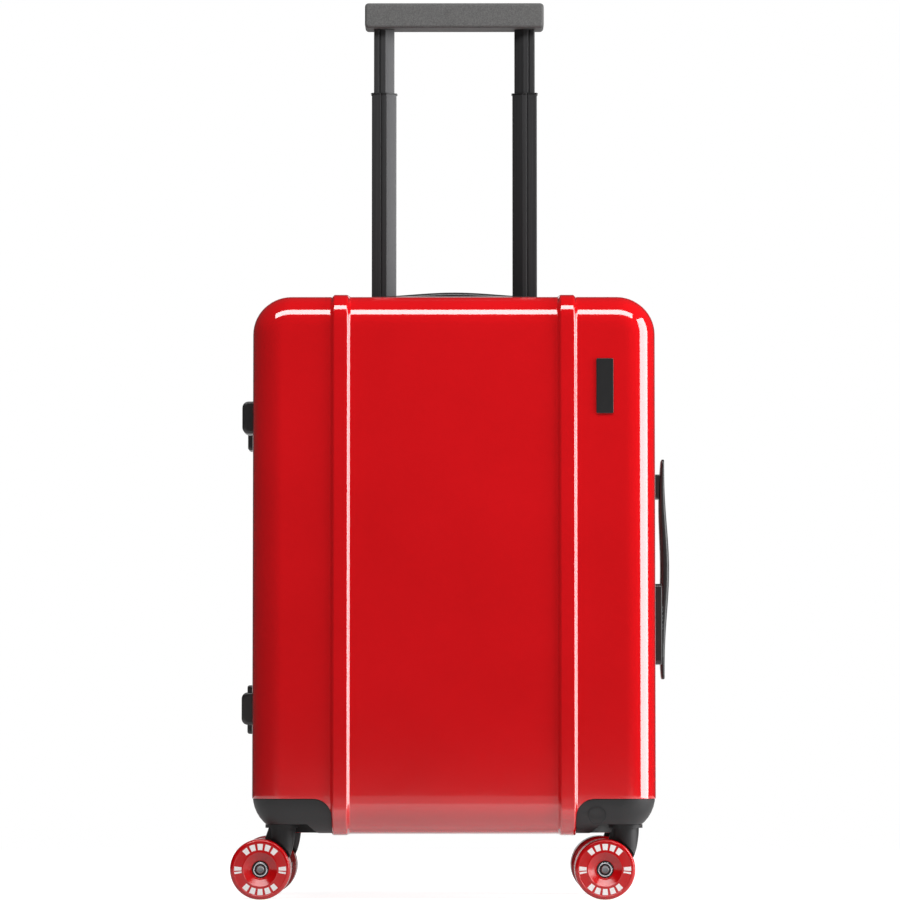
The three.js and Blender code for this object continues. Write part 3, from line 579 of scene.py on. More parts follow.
# Moulded glass-filled nylon: dark grey, matt, with the fine even grain of a spark-eroded mould. The real
# grain is about 0.15 mm, and is drawn at 0.5 mm so that it shows.
nylon, tree, surface, place = new_finish(
    "moulded_glass_filled_nylon", **{"IOR": 1.53, "Specular IOR Level": 0.38}
)
grain = add_node(tree, "ShaderNodeTexNoise", {"Vector": place, "Scale": 2000.0, "Detail": 2.0})
greys = add_node(tree, "ShaderNodeValToRGB", {"Fac": grain.outputs["Fac"]})
greys.color_ramp.elements[0].position = 0.35
greys.color_ramp.elements[0].color = linear("#1E1E1F")
greys.color_ramp.elements[1].position = 0.65
greys.color_ramp.elements[1].color = linear("#252526")
tree.links.new(greys.outputs["Color"], surface.inputs["Base Color"])
sheen = add_node(tree, "ShaderNodeMapRange", {"Value": grain.outputs["Fac"], "To Min": 0.42, "To Max": 0.6})
tree.links.new(sheen.outputs["Result"], surface.inputs["Roughness"])
relief = add_node(
    tree, "ShaderNodeBump", {"Height": grain.outputs["Fac"], "Strength": 0.35, "Distance": 0.00005}
)
tree.links.new(relief.outputs["Normal"], surface.inputs["Normal"])

guard = whole_case(-0.0006)
carve(guard, corner_block(1, -1, 0), "INTERSECT")
hollow = whole_case(-WALL - CLEAR - 0.002)
carve(hollow, round_bar(SEAT_RADIUS + 0.0025, 0, SEAT_TOP + 0.0025, caster_x, -caster_y))
carve(guard, hollow)
carve(guard, round_bar(SEAT_RADIUS, 0, SEAT_TOP, caster_x, -caster_y, 72))
carve(guard, round_bar(0.009, SEAT_TOP + 0.001, SEAT_TOP + 0.02, caster_x, -caster_y), "UNION")
carve(guard, round_bar(0.0048, 0, SEAT_TOP + 0.0163, caster_x, -caster_y))
for side_x, side_y, corner, body in [
    (1, -1, "front_right", "lid"), (-1, -1, "front_left", "lid"),
    (1, 1, "rear_right", "root"), (-1, 1, "rear_left", "root"),
]:
    points = [(side_x * v.co.x, -side_y * v.co.y, v.co.z) for v in guard.data.vertices]
    faces = [tuple(face.vertices) for face in guard.data.polygons]
    copy = solid((points, faces))
    fit(copy, f"guard_{corner}", nylon, body, [f"corner_guard_{corner}"], 0.0005)
bpy.data.objects.remove(guard)

# A plain round mark is moulded into the front right guard, as a thin raised ring.
mark = []
for radius, rise in [(0.0073, -0.0002), (0.0073, 0.00022), (0.0081, 0.00022), (0.0081, -0.0002)]:
    turns = [math.tau * step / 64 for step in range(64)]
    mark.append([
        (0.1297 + radius * math.cos(t), -case_face + 0.0006 - rise, 0.0768 + radius * math.sin(t))
        for t in turns
    ])
fit(solid(loft(mark, ring=True)), "guard_mark_ring", nylon, "lid", sharp=50)

# ---- Casters ----
# Each caster's fork is one nylon moulding: a round flange that turns in the guard's seat, a neck that tapers
# like a fin in front of the wheels, and a middle web that carries the axle between the twin wheels.

AXLE_HEIGHT = 0.0275
TRAIL = 0.0193


def cross_bar(radius, low, high, x=0, z=0, steps=48):
    """A round bar lying along the depth of the case."""
    turns = [math.tau * (step + 0.5) / steps for step in range(steps)]
    ring = [(x + radius * math.cos(turn), z + radius * math.sin(turn)) for turn in turns]
    return solid(loft([[(a, y, b) for a, b in ring] for y in (low, high)]))


def curve_through(start, control, end, steps=10):
    """Points on a simple curve from start to end that is drawn towards control. The start is left out."""
    found = []
    for step in range(1, steps + 1):
        t = step / steps
        found.append([
            (1 - t) ** 2 * a + 2 * t * (1 - t) * b + t * t * c for a, b, c in zip(start, control, end)
        ])
    return found


NECK = 0.01185
collar_top = SEAT_TOP - CLEAR
collar_low = collar_top - 0.0032
fin_tip = AXLE_HEIGHT + 0.0112
fin = [(-NECK, collar_low + 0.001), (NECK, collar_low + 0.001)]
fin += curve_through((NECK, collar_low), (NECK, (collar_low + fin_tip) / 2), (NECK * 0.6, fin_tip))
fin += curve_through((NECK * 0.6, fin_tip), (0, AXLE_HEIGHT), (-TRAIL, AXLE_HEIGHT - 0.0056))
fin += [(-TRAIL - 0.0056, AXLE_HEIGHT)]


def fin_plate(half):
    return solid(loft([[(x, y, z) for x, z in fin] for y in (-half, half)]))


neck = fin_plate(NECK + 0.001)
carve(neck, round_bar(NECK, 0, collar_low + 0.0005, steps=40), "INTERSECT")
carve(neck, cross_bar(AXLE_HEIGHT + 0.0022, -0.03, 0.03, -TRAIL, AXLE_HEIGHT, 72))
fork_parts = [
    neck, fin_plate(0.004), cross_bar(0.0056, -0.0079, 0.0079, -TRAIL, AXLE_HEIGHT),
    round_bar(0.0153, collar_low, collar_top, steps=64),
    round_bar(0.0045, collar_low + 0.001, SEAT_TOP + 0.016),
]
fork_skins = []
for part in fork_parts:
    fork_skins.append(
        ([tuple(v.co) for v in part.data.vertices], [tuple(face.vertices) for face in part.data.polygons])
    )
    bpy.data.objects.remove(part)

# Turned and cast parts are spun from a profile of (radius, place along the axle).
WHEEL_STEPS = 96


def spin(profile, steps=WHEEL_STEPS):
    """A round part about an axis along the depth, from its closed profile."""
    rows = []
    for step in range(steps):
        turn = math.tau * step / steps
        rows.append([(r * math.cos(turn), y, r * math.sin(turn)) for r, y in profile])
    return loft(rows, ring=True)


# Cast polyurethane, glossy red: slightly waxy, softer in its reflections than the shell, with a faint
# cloudiness about 8 mm across.
urethane, tree, surface, place = new_finish(
    "cast_red_polyurethane", **{"IOR": 1.46, "Coat Weight": 0.15, "Coat Roughness": 0.1}
)
haze = add_node(tree, "ShaderNodeTexNoise", {"Vector": place, "Scale": 120.0, "Detail": 4.0})
reds = add_node(tree, "ShaderNodeValToRGB", {"Fac": haze.outputs["Fac"]})
reds.color_ramp.elements[0].color = linear("#B80309")
reds.color_ramp.elements[1].color = linear("#C2050B")
tree.links.new(reds.outputs["Color"], surface.inputs["Base Color"])
gloss = add_node(tree, "ShaderNodeMapRange", {"Value": haze.outputs["Fac"], "To Min": 0.12, "To Max": 0.24})
tree.links.new(gloss.outputs["Result"], surface.inputs["Roughness"])
relief = add_node(
    tree, "ShaderNodeBump", {"Height": haze.outputs["Fac"], "Strength": 0.15, "Distance": 0.00004}
)
tree.links.new(relief.outputs["Normal"], surface.inputs["Normal"])

# White pad-printed ink: flat and slightly chalky, with tiny pinholes.
ink, tree, surface, place = new_finish("white_pad_print_ink", **{"Roughness": 0.5})
speck = add_node(tree, "ShaderNodeTexNoise", {"Vector": place, "Scale": 2500.0, "Detail": 2.0})
whites = add_node(tree, "ShaderNodeValToRGB", {"Fac": speck.outputs["Fac"]})
whites.color_ramp.elements[0].position = 0.3
whites.color_ramp.elements[0].color = linear("#E7C9C9")
whites.color_ramp.elements[1].position = 0.45
whites.color_ramp.elements[1].color = linear("#F4F2F1")
tree.links.new(whites.outputs["Color"], surface.inputs["Base Color"])

# Ground bearing steel: bright, cool and clean, its gloss broken by marks about 1 mm across.
steel, tree, surface, place = new_finish(
    "ground_bearing_steel", **{"Metallic": 1.0, "Base Color": linear("#C4C6CA"), "Anisotropic": 0.3}
)
scuff = add_node(tree, "ShaderNodeTexNoise", {"Vector": place, "Scale": 900.0, "Detail": 3.0})
gloss = add_node(tree, "ShaderNodeMapRange", {"Value": scuff.outputs["Fac"], "To Min": 0.16, "To Max": 0.34})
tree.links.new(gloss.outputs["Result"], surface.inputs["Roughness"])

# Moulded nitrile rubber seal: near black, matt and slightly dusty.
rubber, tree, surface, place = new_finish("moulded_rubber_seal", **{"Roughness": 0.75})
dust = add_node(tree, "ShaderNodeTexNoise", {"Vector": place, "Scale": 700.0, "Detail": 3.0})
blacks = add_node(tree, "ShaderNodeValToRGB", {"Fac": dust.outputs["Fac"]})
blacks.color_ramp.elements[0].color = linear("#121212")
blacks.color_ramp.elements[1].color = linear("#232323")
tree.links.new(blacks.outputs["Color"], surface.inputs["Base Color"])

WHEEL_HALF = 0.0075
shoulder = [
    (0.0245 + 0.003 * math.sin(t), 0.0045 + 0.003 * math.cos(t)) for t in np.linspace(0, math.pi / 2, 7)
]
tread = shoulder + [(0.0275, 0.0006), (0.02738, 0), (0.0275, -0.0006)]
tread += [(r, -y) for r, y in reversed(shoulder)]
wheel_profile = [
    (0.0077, -WHEEL_HALF), (0.0162, -WHEEL_HALF), (0.0165, -WHEEL_HALF + 0.0003),
    (0.0238, -WHEEL_HALF + 0.0003), (0.0241, -WHEEL_HALF),
    *reversed(tread), (0.0241, WHEEL_HALF), (0.0238, WHEEL_HALF - 0.0002),
    (0.0165, WHEEL_HALF - 0.0002), (0.0161, WHEEL_HALF), (0.0155, WHEEL_HALF), (0.0151, WHEEL_HALF - 0.0003),
    (0.0098, WHEEL_HALF - 0.0034), (0.0092, WHEEL_HALF - 0.0038), (0.0085, WHEEL_HALF - 0.004),
    (0.0081, WHEEL_HALF - 0.0042), (0.0077, WHEEL_HALF - 0.0046),
]
bearing_half = 0.0035
seal_profile = [
    (0.0033, -bearing_half), (0.0074, -bearing_half), (0.0076, bearing_half - 0.0006), (0.0074, bearing_half),
    (0.0064, bearing_half), (0.0064, bearing_half - 0.0005), (0.0033, bearing_half - 0.0005),
]
race_profile = [
    (0.0051, bearing_half - 0.0006), (0.0064, bearing_half - 0.0006), (0.0064, bearing_half + 0.0001),
    (0.0061, bearing_half + 0.0003), (0.0055, bearing_half + 0.0003), (0.0051, bearing_half + 0.0001),
]


def print_mark(middle, half_turn, inner, outer):
    """A curved block of ink on the wheel's face, about a middle angle in degrees."""
    turns = [math.radians(middle + half_turn * (step / 4 - 1)) for step in range(9)]
    rows = []
    for radius, y in [(inner, 0), (inner, 0.00012), (outer, 0.00012), (outer, 0)]:
        y += WHEEL_HALF - 0.00028
        rows.append([(radius * math.cos(t), y, radius * math.sin(t)) for t in turns])
    return loft(rows, wrap=False, ring=True)


marks = []
for middle in (90, 270):
    for step in range(-2, 3):
        marks.append(print_mark(middle + 19 * step, 6.5, 0.0176, 0.0232))
for middle, upward in ((0, 1), (180, -1)):
    marks.append(print_mark(middle + 2 * upward, 4.8, 0.0169, 0.0236))
    marks.append(print_mark(middle - 8 * upward, 2.3, 0.0169, 0.0236))

bolt_profile = [
    (0, -0.001), (0.0028, -0.001), (0.0036, 0), (0.0038, 0.0004), (0.0038, 0.0014), (0.0035, 0.0022),
    (0.003, 0.0026), (0.0024, 0.0026),
]


AXLE_HALF = 0.0155
AXLE_RADIUS = 0.003
pin_profile = [(0, -AXLE_HALF), (AXLE_RADIUS, -AXLE_HALF), (AXLE_RADIUS, AXLE_HALF), (0, AXLE_HALF)]


def hex_bolt(side):
    """A round bolt head with a hexagon socket, seen from its side of the caster."""
    turns = np.linspace(0, math.tau, 49)[:-1]
    rows = []
    for radius, y in bolt_profile:
        rows.append([(radius * math.cos(t), y, radius * math.sin(t)) for t in turns])
    for y in (0.0025, 0.0012):
        ring = []
        for t in turns:
            radius = 0.0018 / math.cos((t + math.pi / 6) % (math.pi / 3) - math.pi / 6)
            ring.append((radius * math.cos(t), y, radius * math.sin(t)))
        rows.append(ring)
    points, faces = loft(rows)
    return [(x, side * (y + AXLE_HALF), z) for x, y, z in points], faces


# Zinc-plated bolt steel: greyer and duller than the race round it.
zinc, tree, surface, place = new_finish(
    "zinc_plated_bolt_steel", **{"Metallic": 1.0, "Base Color": linear("#8E9093")}
)
mottle = add_node(tree, "ShaderNodeTexNoise", {"Vector": place, "Scale": 1400.0, "Detail": 3.0})
gloss = add_node(tree, "ShaderNodeMapRange", {"Value": mottle.outputs["Fac"], "To Min": 0.28, "To Max": 0.45})
tree.links.new(gloss.outputs["Result"], surface.inputs["Roughness"])


def moved(skin, flip, x, y, z):
    """A skin turned end for end along the depth if flip is -1, and shifted."""
    points, faces = skin
    return [(a + x, flip * b + y, c + z) for a, b, c in points], faces


for side_y, depth_name in [(-1, "front"), (1, "rear")]:
    for side_x, width_name in [(-1, "left"), (1, "right")]:
        corner = f"{depth_name}_{width_name}"
        x, y = side_x * caster_x, side_y * caster_y
        hub = (x - TRAIL, y, AXLE_HEIGHT)
        turning = f"caster_{corner}"
        fit(
            solid(*[moved(skin, 1, x, y, 0) for skin in fork_skins]), f"fork_{corner}", nylon, turning,
            [f"caster_fork_{corner}"], 0.0007, 3,
        )
        pin = solid(
            moved(hex_bolt(-1), 1, *hub), moved(hex_bolt(1), 1, *hub),
            moved(spin(pin_profile, 24), 1, *hub),
        )
        fit(pin, f"axle_bolt_{corner}", zinc, turning, [f"caster_axle_{corner}"])
        for wheel_name, side in [("outer", side_y), ("inner", -side_y)]:
            wheel = f"wheel_{corner}_{wheel_name}"
            centre = (hub[0], y + side * 0.012, AXLE_HEIGHT)
            tyre = solid(moved(spin(wheel_profile), side, *centre))
            fit(tyre, f"{wheel}_tyre", urethane, wheel, [wheel], sharp=32)
            print_skins = [moved(mark_skin, side, *centre) for mark_skin in marks]
            fit(solid(*print_skins), f"{wheel}_print", ink, wheel)
            middle = (hub[0], y + side * 0.0117, AXLE_HEIGHT)
            seal = solid(moved(spin(seal_profile, 48), side, *middle))
            fit(seal, f"{wheel}_seal", rubber, wheel)
            race = solid(moved(spin(race_profile, 48), side, *middle))
            fit(race, f"{wheel}_race", steel, wheel, [f"bearing_{corner}_{wheel_name}"])

# ---- Trolley tubes ----
# Two telescopic legs of extruded aluminium, anodised near black. Each tube has a rounded outer ridge, a fine
# groove, a second ridge and a slanted inner flat, and the middle tubes end in a small moulded bush.

tube_middle = (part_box("trolley_upper_tube_right")[0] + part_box("trolley_upper_tube_right")[1]) / 2

# Anodised extruded aluminium: a dark satin metal with very fine lines along its length, 0.2 mm apart in the
# die and drawn at 0.6 mm so that they show.
anodised, tree, surface, place = new_finish("anodised_extruded_aluminium", **{"Metallic": 0.85})
stretch = add_node(tree, "ShaderNodeMapping", {"Vector": place, "Scale": (1700.0, 1700.0, 6.0)})
draw = add_node(
    tree, "ShaderNodeTexNoise", {"Vector": stretch.outputs["Vector"], "Scale": 1.0, "Detail": 2.0}
)
greys = add_node(tree, "ShaderNodeValToRGB", {"Fac": draw.outputs["Fac"]})
greys.color_ramp.elements[0].color = linear("#3A3A3B")
greys.color_ramp.elements[1].color = linear("#484849")
tree.links.new(greys.outputs["Color"], surface.inputs["Base Color"])
gloss = add_node(tree, "ShaderNodeMapRange", {"Value": draw.outputs["Fac"], "To Min": 0.34, "To Max": 0.48})
tree.links.new(gloss.outputs["Result"], surface.inputs["Roughness"])
relief = add_node(
    tree, "ShaderNodeBump", {"Height": draw.outputs["Fac"], "Strength": 0.2, "Distance": 0.00003}
)
tree.links.new(relief.outputs["Normal"], surface.inputs["Normal"])

# Moulded ABS, black: a satin surface with a fine leather-like mould grain about 0.8 mm across.
abs_black, tree, surface, place = new_finish("moulded_black_abs", **{"IOR": 1.54})
cells = add_node(tree, "ShaderNodeTexVoronoi", {"Vector": place, "Scale": 1300.0}, feature="SMOOTH_F1")
cloud = add_node(tree, "ShaderNodeTexNoise", {"Vector": place, "Scale": 90.0, "Detail": 3.0})
blacks = add_node(tree, "ShaderNodeValToRGB", {"Fac": cloud.outputs["Fac"]})
blacks.color_ramp.elements[0].color = linear("#131314")
blacks.color_ramp.elements[1].color = linear("#1B1B1C")
tree.links.new(blacks.outputs["Color"], surface.inputs["Base Color"])
gloss = add_node(
    tree, "ShaderNodeMapRange", {"Value": cells.outputs["Distance"], "To Min": 0.3, "To Max": 0.46}
)
tree.links.new(gloss.outputs["Result"], surface.inputs["Roughness"])
relief = add_node(
    tree, "ShaderNodeBump", {"Height": cells.outputs["Distance"], "Strength": 0.2, "Distance": 0.00006}
)
tree.links.new(relief.outputs["Normal"], surface.inputs["Normal"])


def tube_outline(half_x, half_y, ridge, groove, facet):
    """A tube's section, from its outer side to its inner one. Widths run across the front face."""
    front = -half_y
    bevel = 0.0011
    first = -half_x + bevel + ridge
    second = half_x - facet
    slope = facet * math.tan(math.radians(29))
    points = [(-half_x, front + bevel * 1.6), (-half_x + bevel * 0.4, front + bevel * 0.5)]
    points += [(-half_x + bevel * 1.4, front), (first - 0.0006, front), (first, front + 0.0003)]
    points += [(first + groove * 0.3, front + 0.0011), (first + groove * 0.7, front + 0.0011)]
    points += [(first + groove, front + 0.0003), (first + groove + 0.0006, front), (second - 0.0004, front)]
    points += [(second + 0.0004, front + 0.0003), (half_x - 0.0008, front + slope - 0.0004)]
    points += [(half_x, front + slope + 0.0004), (half_x, half_y - 0.002), (half_x - 0.0006, half_y - 0.0006)]
    points += [(half_x - 0.002, half_y), (-half_x + 0.002, half_y), (-half_x + 0.0006, half_y - 0.0006)]
    return points + [(-half_x, half_y - 0.002)]


def inner_line(points, wall):
    """The same section drawn in by the wall."""
    half_x = max(x for x, _ in points)
    half_y = max(y for _, y in points)
    return [(x * (1 - wall / half_x), y * (1 - wall / half_y)) for x, y in points]


TUBES = [
    ("upper", "trolley_upper", 0.0037, 0.0015, 0.0087),
    ("middle", "trolley_middle", 0.0074, 0.0012, 0.0095),
]
bush_profile = [
    (0.0002, -0.0006), (0.0009, -0.0004), (0.0009, 0.0002), (0.0004, 0.0005), (-0.0014, 0.0005),
]
for part, body, ridge, groove, facet in TUBES:
    for side, width_name in [(-1, "left"), (1, "right")]:
        node = f"trolley_{part}_tube_{width_name}"
        low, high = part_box(node)
        half_x, half_y = (high.x - low.x) / 2, (high.y - low.y) / 2
        x, y = (low.x + high.x) / 2, (low.y + high.y) / 2
        outside = tube_outline(half_x, half_y, ridge, groove, facet)
        inside = inner_line(outside, 0.0016)
        rows = []
        for outline, z in [(outside, low.z), (outside, high.z), (inside, high.z), (inside, low.z)]:
            rows.append([(x - side * a, y + b, z) for a, b in outline])
        tube = solid(loft(rows, ring=True))
        fit(tube, f"{part}_tube_{width_name}", anodised, body, [node], sharp=30)
        if part == "middle":
            lip_rows = []
            for grow, z in bush_profile:
                ring = [(a * (1 + grow / half_x), b * (1 + grow / half_y)) for a, b in outside]
                lip_rows.append([(x - side * a, y + b, high.z + z) for a, b in ring])
            lip_rows.append([(x - side * a, y + b, high.z - 0.004) for a, b in inner_line(outside, 0.0014)])
            lip_rows.append([(x - side * a, y + b, high.z - 0.0006) for a, b in inner_line(outside, 0.0002)])
            bush = solid(loft(lip_rows, ring=True))
            fit(bush, f"tube_bush_{width_name}", abs_black, body, sharp=40)
for width_name in ("left", "right"):
    hidden_leg = frame["nodes"][f"trolley_outer_tube_{width_name}"]
    hidden_leg.data.materials.clear()
    hidden_leg.data.materials.append(anodised)

# ---- Trolley grip and its button ----
# One thick moulded bar joins the two legs. It is soft-touch grey with a dark speckle, and the release button
# lies in a pocket in its top.

grip_low, grip_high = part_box("trolley_grip")
grip_middle = (grip_low + grip_high) / 2

# Moulded thermoplastic rubber over ABS: a neutral mid grey, quite matt, with darker and paler grains about
# 1 mm apart.
soft_grey, tree, surface, place = new_finish(
    "overmoulded_speckled_grey_rubber", **{"IOR": 1.5, "Roughness": 0.62}
)
speck = add_node(
    tree, "ShaderNodeTexNoise", {"Vector": place, "Scale": 1100.0, "Detail": 3.0, "Roughness": 0.6}
)
greys = add_node(tree, "ShaderNodeValToRGB", {"Fac": speck.outputs["Fac"]})
greys.color_ramp.elements[0].position = 0.36
greys.color_ramp.elements[0].color = linear("#3E3E3E")
greys.color_ramp.elements[1].position = 0.64
greys.color_ramp.elements[1].color = linear("#565655")
tree.links.new(greys.outputs["Color"], surface.inputs["Base Color"])
relief = add_node(
    tree, "ShaderNodeBump", {"Height": speck.outputs["Fac"], "Strength": 0.35, "Distance": 0.00008}
)
tree.links.new(relief.outputs["Normal"], surface.inputs["Normal"])


def rounded_slab(half, radius, steps=5):
    """A block with every edge rounded, about the origin: rounded outlines that shrink at both ends."""
    rows = []
    for step in range(steps + 1):
        turn = math.pi / 2 * step / steps
        inset = radius * (1 - math.sin(turn))
        outline = rounded(half[0] - inset, half[2] - inset, max(radius * 1.35 - inset, 0.0002), 5)
        rows.append((radius * (1 - math.cos(turn)) - half[1], outline))
    rows += [(-y, outline) for y, outline in reversed(rows)]
    return loft([[(x, y, z) for x, z in outline] for y, outline in rows])


grip_half = (grip_high - grip_low) / 2
bar = solid(placed(rounded_slab(grip_half, 0.0026), grip_middle))
button_low, button_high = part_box("trolley_button")
button_half = (button_high - button_low) / 2
button_middle = (button_low + button_high) / 2
pocket_half = button_half + Vector((CLEAR, CLEAR, 0.002))
carve(bar, solid(placed(rounded_slab(pocket_half, 0.0015), button_middle - Vector((0, 0, 0.002)))))
fit(bar, "grip_bar", soft_grey, "trolley_upper", ["trolley_grip"], sharp=40)
button = solid(placed(rounded_slab(button_half, 0.0015), button_middle))
fit(button, "grip_button", abs_black, "trolley_button", ["trolley_button"], sharp=40)

# ---- Trolley cup and foot bracket ----
# A moulded ABS tray let into the rear shell's top edge. It guides the legs and takes the grip when it is
# pushed down. Its rim stands 1 mm above the shell. The bracket at the bottom holds the outer tubes.

CUP_RIM = 0.001
CUP_DEPTH = 0.0235
cup_floor = cup_high.z - CUP_RIM - CUP_DEPTH
cup = cup_block(0, cup_low.z, 0.56)
carve(cup, whole_case(CUP_RIM), "INTERSECT")
carve(cup, cup_block(-0.0022, cup_floor, 0.6))
for side in (-1, 1):
    hole_low, hole_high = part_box("trolley_middle_tube_right")
    hole_x, hole_y = (hole_high.x - hole_low.x) / 2 + 0.00035, (hole_high.y - hole_low.y) / 2 + 0.00035
    centre = side * tube_middle.x
    outline = rounded(hole_x, hole_y, 0.002)
    rows = [[(centre + x, tube_middle.y + y, z) for x, y in outline] for z in (0.5, 0.56)]
    carve(cup, solid(loft(rows)))
fit(cup, "cup_tray", abs_black, "root", ["trolley_cup"], 0.0004)
bracket = frame["nodes"]["trolley_foot_bracket"]
bracket.data.materials.clear()
bracket.data.materials.append(abs_black)

# ---- Carrying handles ----
# Flexible moulded grips, one on the right side and one on top. Their middle rises 8 mm when pulled, but here
# each is drawn at rest as two halves fixed to no body. Their ends stay in two end mounts, which stand on a
# thin base strip.


def handle_point(length, height, width, upright):
    """A point given along the handle, above its base and across it, in the case's own directions."""
    if upright:
        return (case_side + height, handle_y + width, case_middle + length)
    return (length, handle_y + width, case_top + height)


HANDLE_LENGTH = 0.2062
HANDLE_HALF_WIDTH = 0.012
HANDLE_TIP = 0.004
MOUNT_LENGTH = 0.0228


def grip_section(length, proud):
    """Heights of the grip's underside and top at a place along it, and its half width."""
    bend = math.cos(length / HANDLE_LENGTH * math.pi)
    top = proud - 0.0044 * (1 - bend**3)
    under = top - 0.0028 - 0.0052 * bend
    end = max(0, abs(length) - (HANDLE_LENGTH / 2 - HANDLE_TIP))
    half = HANDLE_HALF_WIDTH - (HANDLE_TIP - math.sqrt(max(HANDLE_TIP**2 - end**2, 0)))
    return under, top, half


def grip_half_skin(start, end, proud, upright, steps=22):
    """Half of a grip, from one place along it to another, with softly rounded edges."""
    rows = []
    for step in range(steps + 1):
        share = step / steps
        length = start + (end - start) * math.sin(share * math.pi / 2)
        under, top, half = grip_section(length, proud)
        middle, thick = (under + top) / 2, (top - under) / 2
        tip = max(0, abs(length) - (HANDLE_LENGTH / 2 - 0.0014))
        thick *= math.sqrt(max(1 - (tip / 0.0014) ** 2 * 0.6, 0.1))
        row = []
        for a, b in rounded(max(half, HANDLE_TIP), thick, min(thick * 0.85, 0.003), 5):
            crown = 0.0004 * (1 - (a / HANDLE_HALF_WIDTH) ** 2)
            row.append(handle_point(length, middle + b + crown, a, upright))
        rows.append(row)
    return loft(rows)


HANDLES = [
    ("side_handle", "side_handle", 0.0174, 0.1988, 0.0105, True),
    ("top_handle", "top_handle", 0.015, 0.1863, 0.0035, False),
]
for name, body, proud, base_length, mount_inset, upright in HANDLES:
    base_low, base_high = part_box(f"{name}_base")
    handle_y = (base_low.y + base_high.y) / 2
    for side, end_name in [(-1, "first"), (1, "second")]:
        skin = grip_half_skin(0, side * HANDLE_LENGTH / 2, proud, upright)
        half_grip = fit(
            solid(skin), f"{name}_grip_{end_name}", abs_black, None, [f"{name}_grip"], sharp=45
        )
        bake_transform(half_grip)
    mount_out = base_length / 2 - mount_inset
    mount_in = mount_out - MOUNT_LENGTH
    strip = rounded(base_length / 2, HANDLE_HALF_WIDTH, 0.004)
    rows = [[handle_point(a, h, b, upright) for a, b in strip] for h in (CLEAR, 0.0014)]
    base = solid(loft(rows))
    for side in (-1, 1):
        block = []
        for a, b in rounded(MOUNT_LENGTH / 2, HANDLE_HALF_WIDTH, 0.0015):
            length = side * (mount_in + MOUNT_LENGTH / 2) + a
            block.append((length, b, grip_section(length, proud)[0] - CLEAR))
        low_row = [handle_point(a, 0.001, b, upright) for a, b, _ in block]
        high_row = [handle_point(a, h, b, upright) for a, b, h in block]
        carve(base, solid(loft([low_row, high_row])), "UNION")
    fit(base, f"{name}_mounts", abs_black, "root", [f"{name}_base"], 0.0003)

# ---- Combination lock ----
# A moulded ABS lock let onto the right side beside the zip, with three number dials and a push button
# that lets the sliders go. Its key slot for inspection is not drawn.

lock_low, lock_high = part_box("lock_body")
lock_half = (lock_high - lock_low) / 2
lock_middle = (lock_low + lock_high) / 2
lock_case = solid(placed(side_slab(lock_half, 0.0012, 0.004), lock_middle))
for number in (1, 2, 3):
    low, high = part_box(f"lock_dial_{number}")
    slot_half = (high - low) / 2 + Vector((0.01, CLEAR, CLEAR))
    slot_middle = (low + high) / 2 + Vector((0.01 - 0.0005, 0, 0))
    carve(lock_case, solid(placed(side_slab(slot_half, 0.0001, 0.0006, 1), slot_middle)))
low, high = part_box("lock_button")
push_half, push_middle = (high - low) / 2, (low + high) / 2
pocket = (push_half[0] + 0.001, push_half[1] + CLEAR, push_half[2] + CLEAR)
carve(lock_case, solid(placed(side_slab(pocket, 0.0001, 0.0015, 1), push_middle - Vector((0.001, 0, 0)))))
fit(lock_case, "lock_case", abs_black, "lid", ["lock_body"], 0.0002, sharp=40)
push = solid(placed(side_slab(push_half, 0.0008, 0.0015), push_middle))
fit(push, "lock_push_button", abs_black, "lock_button", ["lock_button"], sharp=40)

# Black nickel plated zinc: a dark metal that still glints at its edges, with slight wear to a softer sheen.
black_nickel, tree, surface, place = new_finish(
    "black_nickel_plated_zinc", **{"Metallic": 1.0, "Base Color": linear("#3C3C3E")}
)
wear = add_node(tree, "ShaderNodeTexNoise", {"Vector": place, "Scale": 500.0, "Detail": 4.0})
gloss = add_node(tree, "ShaderNodeMapRange", {"Value": wear.outputs["Fac"], "To Min": 0.22, "To Max": 0.4})
tree.links.new(gloss.outputs["Result"], surface.inputs["Roughness"])

dial_profile = [
    (-1, 0.86), (-0.92, 1), (-0.45, 1), (-0.35, 0.93), (0.35, 0.93), (0.45, 1), (0.92, 1), (1, 0.86),
]
for number in (1, 2, 3):
    low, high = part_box(f"lock_dial_{number}")
    centre, radius, half = (low + high) / 2, (high.y - low.y) / 2, (high.z - low.z) / 2
    rows = []
    for z, ridge in dial_profile:
        ring = []
        for step in range(60):
            turn = math.tau * step / 60
            notch = 0.94 if ridge == 1 and step % 6 in (0, 1) else 1
            reach = radius * ridge * notch
            ring.append(centre + Vector((reach * math.cos(turn), reach * math.sin(turn), z * half)))
        rows.append(ring)
    node = f"lock_dial_{number}"
    fit(solid(loft(rows)), f"number_dial_{number}", black_nickel, node, [node], sharp=30)

# ---- Divider, lining and packing straps ----
# The front half is closed by a zipped cloth divider with a mesh pocket. The rear half has a sewn polyester
# lining that covers the trolley's tubes, and two elastic straps that cross over the clothes and meet in a
# buckle.

# Woven polyester lining: dark grey cloth with a fine plain weave, drawn at 1.2 mm so that it shows, and soft
# puckers about 45 mm across.
lining_cloth, tree, surface, place = new_finish(
    "woven_polyester_lining", **{"Roughness": 0.8, "Sheen Weight": 0.4}
)
warp = add_node(
    tree, "ShaderNodeTexWave", {"Vector": place, "Scale": 262.0, "Distortion": 0.3}, bands_direction="Z"
)
weft = add_node(
    tree, "ShaderNodeTexWave", {"Vector": place, "Scale": 262.0, "Distortion": 0.3}, bands_direction="X"
)
weave = add_node(
    tree, "ShaderNodeMath", {0: warp.outputs["Fac"], 1: weft.outputs["Fac"]}, operation="MULTIPLY"
)
greys = add_node(tree, "ShaderNodeValToRGB", {"Fac": weave.outputs[0]})
greys.color_ramp.elements[0].color = linear("#2A2A2D")
greys.color_ramp.elements[1].color = linear("#47474B")
tree.links.new(greys.outputs["Color"], surface.inputs["Base Color"])
